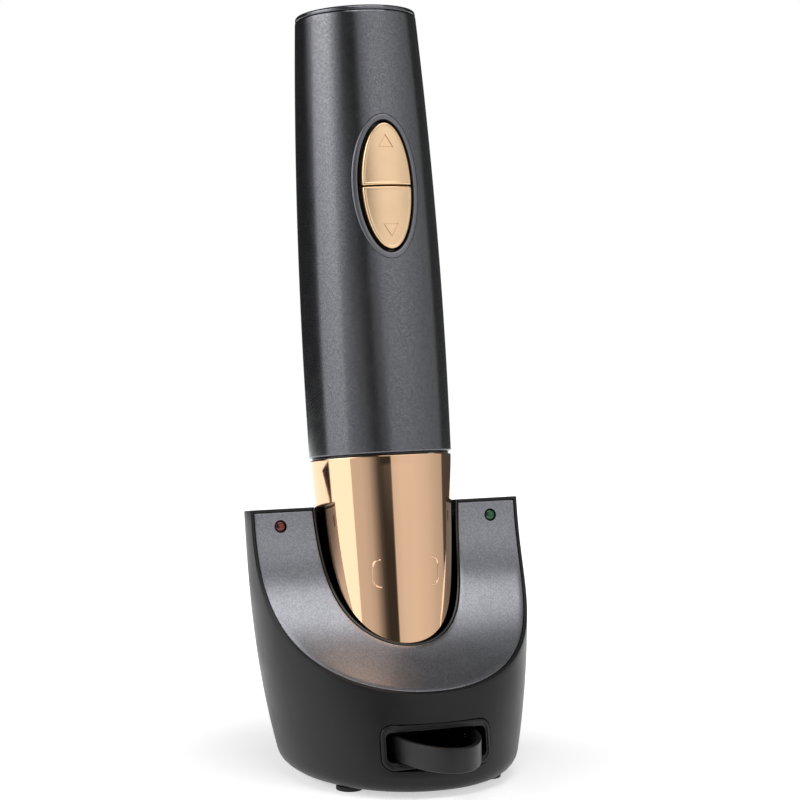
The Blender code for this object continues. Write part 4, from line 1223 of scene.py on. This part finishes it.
@dataclass
class Opener:
    """The graphite handle, the rose gold sleeve, the keys and the worm."""

    wall: float = 2.2 * MM
    seam_z: float = 17.2 * MM
    seam: float = 1.0 * MM
    cap_thick: float = 1.7 * MM
    gap: float = 0.3 * MM
    sleeve_top: float = 25.6 * MM
    sleeve_foot: float = 22.2 * MM
    sleeve_foot_z: float = -64 * MM
    sleeve_wall: float = 1.2 * MM
    key_z: float = 112.8 * MM
    oval_half_width: float = 12.5 * MM
    oval_half_height: float = 26.0 * MM
    ring: float = 2.4 * MM
    ring_proud: float = 0.4 * MM
    key_gap: float = 0.9 * MM
    key_proud: float = 1.2 * MM
    key_split: float = 0.5 * MM
    face_fall: float = 0.2 * MM
    arrow_depth: float = 0.35 * MM
    key_back_y: float = -20 * MM
    stem_z: float = 10 * MM
    facets: int = 280

    def build(self) -> None:
        """Makes every visible piece of the opener."""
        self.handle()
        self.cap()
        self.seam_band()
        self.sleeve()
        self.plate_frame()
        self.key_surround()
        self.keys()
        self.worm()

    def handle(self) -> None:
        """The handle's tube with its oval opening."""
        low, high = self.seam_z + self.seam / 2, HANDLE.top_z - self.cap_thick - self.gap
        outside = [(HANDLE.at(z), z) for z in spaced(high - 0.6 * MM, low + 0.6 * MM, 70)]
        top = [(HANDLE.at(high) - self.wall, high), (HANDLE.at(high) - 0.35 * MM, high),
               (HANDLE.at(high) - 0.1 * MM, high - 0.1 * MM), (HANDLE.at(high), high - 0.35 * MM)]
        foot = [(HANDLE.at(low), low + 0.35 * MM), (HANDLE.at(low) - 0.1 * MM, low + 0.1 * MM),
                (HANDLE.at(low) - 0.35 * MM, low), (HANDLE.at(low) - self.wall, low)]
        bm = turned([*top, *outside, *foot], self.facets, ring=True)
        opening = self.oval_bar(self.gap / 2, -40 * MM, -10 * MM)
        bm = shaped(bm, Cut.REMOVE, opening)
        add_piece("handle_tube", bm, LEANING, Palette.graphite, "opener", ["handle_shell"], 35)

    def oval_bar(self, extra: float, low_y: float, high_y: float) -> bmesh.types.BMesh:
        """An oval bar that runs front to back through the keys' centre."""
        ring = ellipse(self.oval_half_width + extra, self.oval_half_height + extra, 160)
        return bar([(x, low_y, self.key_z + z) for x, z in ring], (0, high_y - low_y, 0))

    def cap(self) -> None:
        """The handle's top: a shallow dish inside a rounded rim."""
        top, edge = HANDLE.top_z, HANDLE.at(HANDLE.top_z)
        low = top - self.cap_thick
        spigot = HANDLE.at(low) - self.wall - self.gap
        rim = [(edge - 1.0 * MM * (1 - math.sin(turn)), top - 1.0 * MM * (1 - math.cos(turn)))
               for turn in spaced(0, math.pi / 2, 8)]
        dish = [(0, top - 0.5 * MM), (edge - 6 * MM, top - 0.45 * MM), (edge - 3.4 * MM, top - 0.12 * MM)]
        profile = [*dish, *rim, (edge, low + 0.2 * MM), (edge - 0.2 * MM, low), (spigot, low),
                   (spigot, low - 3 * MM), (0, low - 3 * MM)]
        add_piece("handle_cap", turned(profile, self.facets), LEANING, Palette.graphite, "opener",
                  ["top_cap"], 40)

    def seam_band(self) -> None:
        """The black band in the seam between the handle and the sleeve."""
        half = self.seam / 2 - 0.15 * MM
        outer, inner = self.sleeve_top - 0.8 * MM, self.sleeve_top - 2.2 * MM
        profile = softened([(outer, self.seam_z + half), (outer, self.seam_z - half),
                            (inner, self.seam_z - half), (inner, self.seam_z + half)], 0.15 * MM, 3, True)
        add_piece("seam_band", turned(profile, 200, ring=True), LEANING, Palette.recess, "opener",
                  ["seam_ring"], 50)

    def sleeve_radius(self, z: float) -> float:
        """The sleeve's straight taper."""
        top = self.seam_z
        return self.sleeve_top + (self.sleeve_foot - self.sleeve_top) * (top - z) / (top - self.sleeve_foot_z)

    def sleeve(self) -> None:
        """The polished sleeve, with softened ends."""
        top, foot = self.seam_z - self.seam / 2, self.sleeve_foot_z
        outside = [(self.sleeve_radius(z), z) for z in spaced(top - 0.4 * MM, foot + 0.5 * MM, 24)]
        r_top, r_foot = self.sleeve_radius(top), self.sleeve_radius(foot)
        start = [(r_top - self.sleeve_wall, top - 0.1 * MM), (r_top - 0.5 * MM, top),
                 (r_top - 0.25 * MM, top), (r_top - 0.07 * MM, top - 0.07 * MM), (r_top, top - 0.25 * MM)]
        end = [(r_foot - 0.06 * MM, foot + 0.2 * MM), (r_foot - 0.22 * MM, foot + 0.05 * MM),
               (r_foot - 0.5 * MM, foot), (r_foot - self.sleeve_wall, foot)]
        bm = turned([*start, *outside, *end], self.facets, ring=True)
        add_piece("sleeve_tube", bm, LEANING, Palette.rose_gold, "opener", ["lower_sleeve"], 45)

    def plate_frame(self) -> None:
        """A blank plate's raised outline on the sleeve's front."""
        path = rounded_box(12.9 * MM, -30.0 * MM, -20.2 * MM, 2.6 * MM, 8)
        bead = [(-0.32 * MM, -0.05 * MM), (-0.26 * MM, 0.1 * MM), (-0.1 * MM, 0.2 * MM), (0.1 * MM, 0.2 * MM),
                (0.26 * MM, 0.1 * MM), (0.32 * MM, -0.05 * MM)]
        rings = []
        for side, rise in bead:
            ring = []
            for arc, z in drawn_in(path, side):
                radius = self.sleeve_radius(z) + rise
                turn = arc / self.sleeve_radius(z)
                ring.append((radius * math.sin(turn), -radius * math.cos(turn), z))
            rings.append(ring)
        add_piece("plate_outline", loft(rings, joined=True), LEANING, Palette.rose_gold, "opener",
                  sharp=60)

    def key_surround(self) -> None:
        """The satin ring round the keys and the black well behind them."""
        def loop(inset: float, proud: float, y: float | None = None) -> list[Point]:
            """An oval loop, wrapped on the handle or flat at y."""
            ring = []
            for x, z in ellipse(self.oval_half_width - inset, self.oval_half_height - inset, 160):
                wrapped = HANDLE.wrap(x, self.key_z + z, proud)
                ring.append(wrapped if y is None else (x, y, self.key_z + z))
            return ring

        edge = ((0, -2.4), (0, 0.1), (0.08, 0.28), (0.3, 0.38), (0.6, self.ring_proud / MM), (1.55, 0.34),
                (1.85, 0.22), (2, 0), (2.05, -0.4), (2.05, -2.4))
        rings = [loop(inset * MM, proud * MM) for inset, proud in edge]
        add_piece("key_ring", loft(rings, joined=True), LEANING, Palette.ring, "opener",
                  ["button_bezel"], 40)
        floor = self.key_back_y + 1.2 * MM
        rings = [loop(0.35 * MM, 0, floor + 1.5 * MM), loop(0.35 * MM, -3.0 * MM), loop(0.6 * MM, -2.6 * MM),
                 loop(2.1 * MM, -0.6 * MM), loop(2.2 * MM, -0.6 * MM), loop(self.ring, -0.9 * MM),
                 loop(self.ring, 0, floor)]
        add_piece("key_well", loft(rings), LEANING, Palette.recess, "opener",
                  ["button_bezel"], 40)

    def key_outline(self, sign: int) -> list[Flat]:
        """Half of the keys' oval, with softened corners at the split."""
        inset = self.ring + self.key_gap
        wide, tall = self.oval_half_width - inset, self.oval_half_height - inset
        edge = self.key_split / 2
        start = math.asin(edge / tall)
        arc = [(wide * math.cos(turn), tall * math.sin(turn)) for turn in spaced(start, math.pi - start, 72)]
        soft = 0.55 * MM
        left, right = arc[-1], arc[0]
        base = [(x, edge) for x in spaced(left[0] + soft, right[0] - soft, 30)]
        points = [*arc[1:-1]]
        points += [(left[0] + 0.08 * MM, edge + 0.28 * MM), (left[0] + 0.25 * MM, edge + 0.07 * MM), *base]
        points += [(right[0] - 0.25 * MM, edge + 0.07 * MM), (right[0] - 0.08 * MM, edge + 0.28 * MM)]
        if sign > 0:
            return points
        return [(x, -z) for x, z in reversed(points)]

    def keys(self) -> None:
        """The two keys: a rounded rim round a face that is set a little lower, with an engraved arrow."""
        for name, node_name, body, sign in (
            ("key_upper", "release_button", "release_key", 1),
            ("key_lower", "extract_button", "extract_key", -1),
        ):
            outline = self.key_outline(sign)
            centre = Vector((0, sign * 10.5 * MM))

            def loop(inset: float, proud: float, shrink: float = 1.0) -> list[Point]:
                """A loop on the key, drawn in and then shrunk towards its centre."""
                ring = []
                for x, z in drawn_in(outline, inset):
                    x, z = centre.x + (x - centre.x) * shrink, centre.y + (z - centre.y) * shrink
                    ring.append(HANDLE.wrap(x, self.key_z + z, proud))
                return ring

            back = [(x, self.key_back_y, self.key_z + z) for x, z in outline]
            p = self.key_proud
            edge = ((0.05, 0.34), (0.16, 0.15), (0.34, 0.03), (0.5, 0), (0.78, 0), (0.86, 0.04), (0.9, 0.16),
                    (1, 0.2))
            rings = [back, loop(0, -1.5 * MM), loop(0, p - 0.55 * MM)]
            rings += [loop(inset * MM, p - fall * MM) for inset, fall in edge]
            rings += [loop(1 * MM, p - self.face_fall, shrink) for shrink in
                      (0.97, 0.92, 0.84, 0.76, 0.68, 0.6, 0.5, 0.4, 0.3, 0.2, 0.1, 0.03)]
            key = loft(rings, Ends.FACE, Ends.POLE)
            key = shaped(key, Cut.REMOVE, self.arrow(sign))
            stem_z = self.key_z + sign * self.stem_z
            stem = rod(2 * MM, (0, self.key_back_y - 1 * MM, stem_z), (0, self.key_back_y + 2.9 * MM, stem_z))
            key = shaped(key, Cut.ADD, stem)
            add_piece(name, key, LEANING, Palette.satin_rose, body, [node_name], 30)

    def arrow(self, sign: int) -> bmesh.types.BMesh:
        """The cutter for a triangle's engraved outline, pointing away from the split."""
        tip, base, half = 18.6 * MM, 13.7 * MM, 2.9 * MM
        corners = [(-half, sign * base), (half, sign * base), (0, sign * tip)]
        if sign < 0:
            corners.reverse()
        outside: list[Flat] = []
        for k, corner in enumerate(corners):
            after = corners[(k + 1) % 3]
            for share in spaced(0, 1, 9)[:-1]:
                outside.append(tuple(a + (b - a) * share for a, b in zip(corner, after)))
        middle = Vector((0, sign * (2 * base + tip) / 3))
        width = 0.82
        depth = self.key_proud - self.face_fall - self.arrow_depth

        def ring(share: float, proud: float) -> list[Point]:
            """The triangle at this share of its size."""
            points = [(middle.x + (x - middle.x) * share, middle.y + (z - middle.y) * share)
                      for x, z in outside]
            return [HANDLE.wrap(x, self.key_z + z, proud) for x, z in points]

        return loft([ring(1, 4 * MM), ring(1, depth), ring(width, depth), ring(width, 4 * MM)], joined=True)

    def worm(self) -> None:
        """The corkscrew: a coated steel wire, coiled and drawn to a point."""
        wire, coil, pitch = 1.5 * MM, 3.3 * MM, 8.6 * MM
        tip, top, hub = -47 * MM, 9 * MM, 13.5 * MM
        per_turn = 28
        count = round((top - tip) / pitch * per_turn)
        path = [(Vector((0, 0, hub + 5.5 * MM)), 1.0), (Vector((0, 0, hub)), 1.0),
                (Vector((0, 0, top + 2.5 * MM)), 1.0)]
        for k in range(count + 1):
            turn = -TURN * k / per_turn
            reach = coil * min(1.0, 0.35 + k / per_turn)
            thick = min(1.0, 0.12 + 0.88 * (count - k) / per_turn)
            height = top + (tip - top) * k / count
            path.append((Vector((reach * math.cos(turn), reach * math.sin(turn), height)), thick))
        rings = []
        side = Vector((1, 0, 0))
        for k, (point, thick) in enumerate(path):
            along = (path[min(k + 1, len(path) - 1)][0] - path[max(k - 1, 0)][0]).normalized()
            side = (side - along * side.dot(along)).normalized()
            other = along.cross(side)
            rings.append([tuple(point + (side * math.cos(t) + other * math.sin(t)) * wire * thick)
                          for t in [TURN * j / 16 for j in range(16)]])
        add_piece("worm_wire", loft(rings), LEANING, Palette.steel, "worm", ["corkscrew"], 60)


# ------------------------------------------------------------------ what stays as packed

@dataclass
class InnerWorks:
    """CAD nodes whose shape is right: each gets the material of what it is made of."""

    finishes: dict[str, Finish] = field(default_factory=lambda: {
        "base_plate": Palette.black, "base_screw": Palette.steel, "charge_board": Palette.board,
        "charge_pin": Palette.brass, "charge_contact": Palette.steel, "cutter_axle": Palette.steel,
        "neck_guide": Palette.natural, "control_board": Palette.board, "tact_switch": Palette.recess,
        "battery_holder": Palette.natural, "battery_cell": Palette.wrap, "motor_can": Palette.steel,
        "motor_endbell": Palette.recess, "motor_rotor": Palette.steel, "motor_pinion": Palette.brass,
        "gear_case": Palette.natural, "stage1_carrier": Palette.steel, "stage1_planet": Palette.natural,
        "stage2_planet": Palette.natural, "output_spindle": Palette.steel, "output_bush": Palette.brass,
    })

    def build(self) -> None:
        """Dresses every node that this table names."""
        for name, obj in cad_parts.items():
            finish = next((made for stem, made in self.finishes.items() if name.startswith(stem)), None)
            if finish is None:
                continue
            obj.data.materials.clear()
            obj.data.materials.append(PALETTE.of(finish))
            LOG.info("%s dressed in %s", name, finish.name)


# ------------------------------------------------------------------ studio

@dataclass
class Studio:
    """Camera, pale table and a tent of soft light with the bands that polished metal shows."""

    place: Point = (-0.3256, -0.9194, 0.2482)
    target: Point = (0.00748, 0.01628, 0.1316)
    lens: float = 123.75
    table_radius: float = 0.8
    # Azimuth in degrees (0 is the front, 90 the right) and brightness there, near the horizon.
    low: tuple[Flat, ...] = (
        (-180, 0.03), (-114, 0.03), (-111, 1.4), (-70, 1.4), (-69, 0.66), (-52, 0.63), (-40, 0.5),
        (-32, 0.27),
        (-24, 0.08), (-18, 0.04), (-3, 0.04), (-2, 0.66), (12, 0.76), (35, 0.78), (60, 0.7), (80, 0.58),
        (98, 0.5), (101, 0.08), (180, 0.05),
    )
    # The same a quarter of the way up
    high: tuple[Flat, ...] = (
        (-180, 0.03), (-134, 0.03), (-125, 2.4), (-105, 3.8), (-80, 3.5), (-62, 1.0), (-50, 0.1), (-35, 0.03),
        (-24, 0.03), (-14, 0.8), (5, 1.25), (30, 1.25), (60, 0.9), (90, 0.5), (101, 0.05), (180, 0.03),
    )
    zenith: float = 0.16

    def build(self) -> None:
        """Sets up the camera, the table and the light."""
        self.camera()
        self.table()
        self.tent()
        self.overhead()
        bpy.context.scene.view_settings.view_transform = "Standard"

    def camera(self) -> None:
        """A long lens, a metre away and a little above."""
        data = bpy.data.cameras.new("camera")
        data.lens = self.lens
        data.sensor_width = 36
        data.clip_start, data.clip_end = 0.05, 30
        obj = bpy.data.objects.new("camera", data)
        bpy.context.scene.collection.objects.link(obj)
        obj.location = self.place
        obj.rotation_euler = (Vector(self.target) - Vector(self.place)).to_track_quat("-Z", "Y").to_euler()
        bpy.context.scene.camera = obj

    def table(self) -> None:
        """A round table of glossy white acrylic that glows with painted light, dimmed towards the middle as a
        painted shadow round the base.
        """
        bm = bmesh.new()
        bmesh.ops.create_circle(bm, cap_ends=True, segments=128, radius=self.table_radius)
        obj = to_object("table_top", bm)
        material = bpy.data.materials.new("white_acrylic_painted_glow_and_shadow")
        material.use_nodes = True
        tree = material.node_tree
        shader = tree.nodes["Principled BSDF"]
        shader.inputs["Base Color"].default_value = linear("#f0f0f1")
        shader.inputs["Specular IOR Level"].default_value = 0.0
        shader.inputs["Emission Color"].default_value = (1, 1, 1, 1)
        place = node(tree, "TexCoord").outputs["Object"]
        away = node(tree, "VectorMath", {0: place}, operation="LENGTH")
        # Painted light: the emission glows near white away from the base and dims towards the middle as a
        # painted shadow round it.
        painted_glow_and_shadow = node(tree, "MapRange", {"Value": away.outputs["Value"], "From Min": 0.05, "From Max": 0.17,
                                       "To Min": 0.6, "To Max": 0.98}, interpolation_type="SMOOTHSTEP")
        tree.links.new(painted_glow_and_shadow.outputs["Result"], shader.inputs["Emission Strength"])
        gloss = node(tree, "BsdfAnisotropic", {"Color": (1, 1, 1, 1), "Roughness": 0.06})
        both = node(tree, "MixShader", {0: 0.1, 1: shader.outputs[0], 2: gloss.outputs[0]})
        tree.links.new(both.outputs[0], tree.nodes["Material Output"].inputs["Surface"])
        obj.data.materials.append(material)

    def tent(self) -> None:
        """The world: white to the camera, and soft bands of light to everything else."""
        world = bpy.data.worlds.new("light_tent")
        bpy.context.scene.world = world
        world.use_nodes = True
        tree = world.node_tree
        tree.nodes.clear()
        way = node(tree, "TexCoord").outputs["Generated"]
        parts = node(tree, "SeparateXYZ", {0: way})
        back = node(tree, "Math", {0: parts.outputs["Y"], 1: -1.0}, operation="MULTIPLY")
        angle = node(tree, "Math", {0: parts.outputs["X"], 1: back.outputs[0]}, operation="ARCTAN2")
        share = node(tree, "MapRange", {"Value": angle.outputs[0], "From Min": -math.pi, "From Max": math.pi})
        scale = 4.0
        rings = []
        for stops in (self.low, self.high):
            levels = [((turn + 180) / 360, level / scale) for turn, level in stops]
            rings.append(ramp(tree, share.outputs["Result"], levels))
        lower = self.between(tree, parts.outputs["Z"], 5, 25, rings[0], rings[1])
        top = node(tree, "RGB").outputs[0]
        top.default_value = (*[self.zenith / scale] * 3, 1)
        whole = self.between(tree, parts.outputs["Z"], 32, 50, lower, top)
        light = node(tree, "Background", {"Color": whole, "Strength": scale})
        white = node(tree, "Background", {"Color": (1, 1, 1, 1), "Strength": 1.0})
        seen = node(tree, "LightPath").outputs["Is Camera Ray"]
        mix = node(tree, "MixShader", {0: seen, 1: light.outputs[0], 2: white.outputs[0]})
        node(tree, "OutputWorld", {"Surface": mix.outputs[0]})

    def between(self, tree: bpy.types.NodeTree, height: bpy.types.NodeSocket, low: float, high: float,
                below: bpy.types.NodeSocket, above: bpy.types.NodeSocket) -> bpy.types.NodeSocket:
        """Blends two colours between two elevations in degrees."""
        low_z, high_z = math.sin(math.radians(low)), math.sin(math.radians(high))
        share = node(tree, "MapRange", {"Value": height, "From Min": low_z, "From Max": high_z})
        colours = {0: share.outputs["Result"], 6: below, 7: above}
        return node(tree, "Mix", colours, data_type="RGBA").outputs[2]

    def overhead(self) -> None:
        """A softbox over the front of the table, where the inlay mirrors it."""
        data = bpy.data.lights.new("overhead_softbox", "AREA")
        data.shape, data.size, data.size_y = "RECTANGLE", 0.7, 0.4
        data.energy = 2.3
        obj = bpy.data.objects.new("overhead_softbox", data)
        obj.location = (0.06, -0.27, 0.8)
        obj.rotation_euler = (Vector((0, 0, 0.08)) - obj.location).to_track_quat("-Z", "Y").to_euler()
        bpy.context.scene.collection.objects.link(obj)


BAY = CutterBay()
CAD_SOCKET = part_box("dc_inlet")


def main() -> None:
    """Builds the object and its studio."""
    logging.basicConfig(level=logging.INFO, format="%(message)s")
    Studio().build()
    InnerWorks().build()
    ChargingBase().build()
    BAY.build()
    Opener().build()


if __name__ == "__main__":
    main()
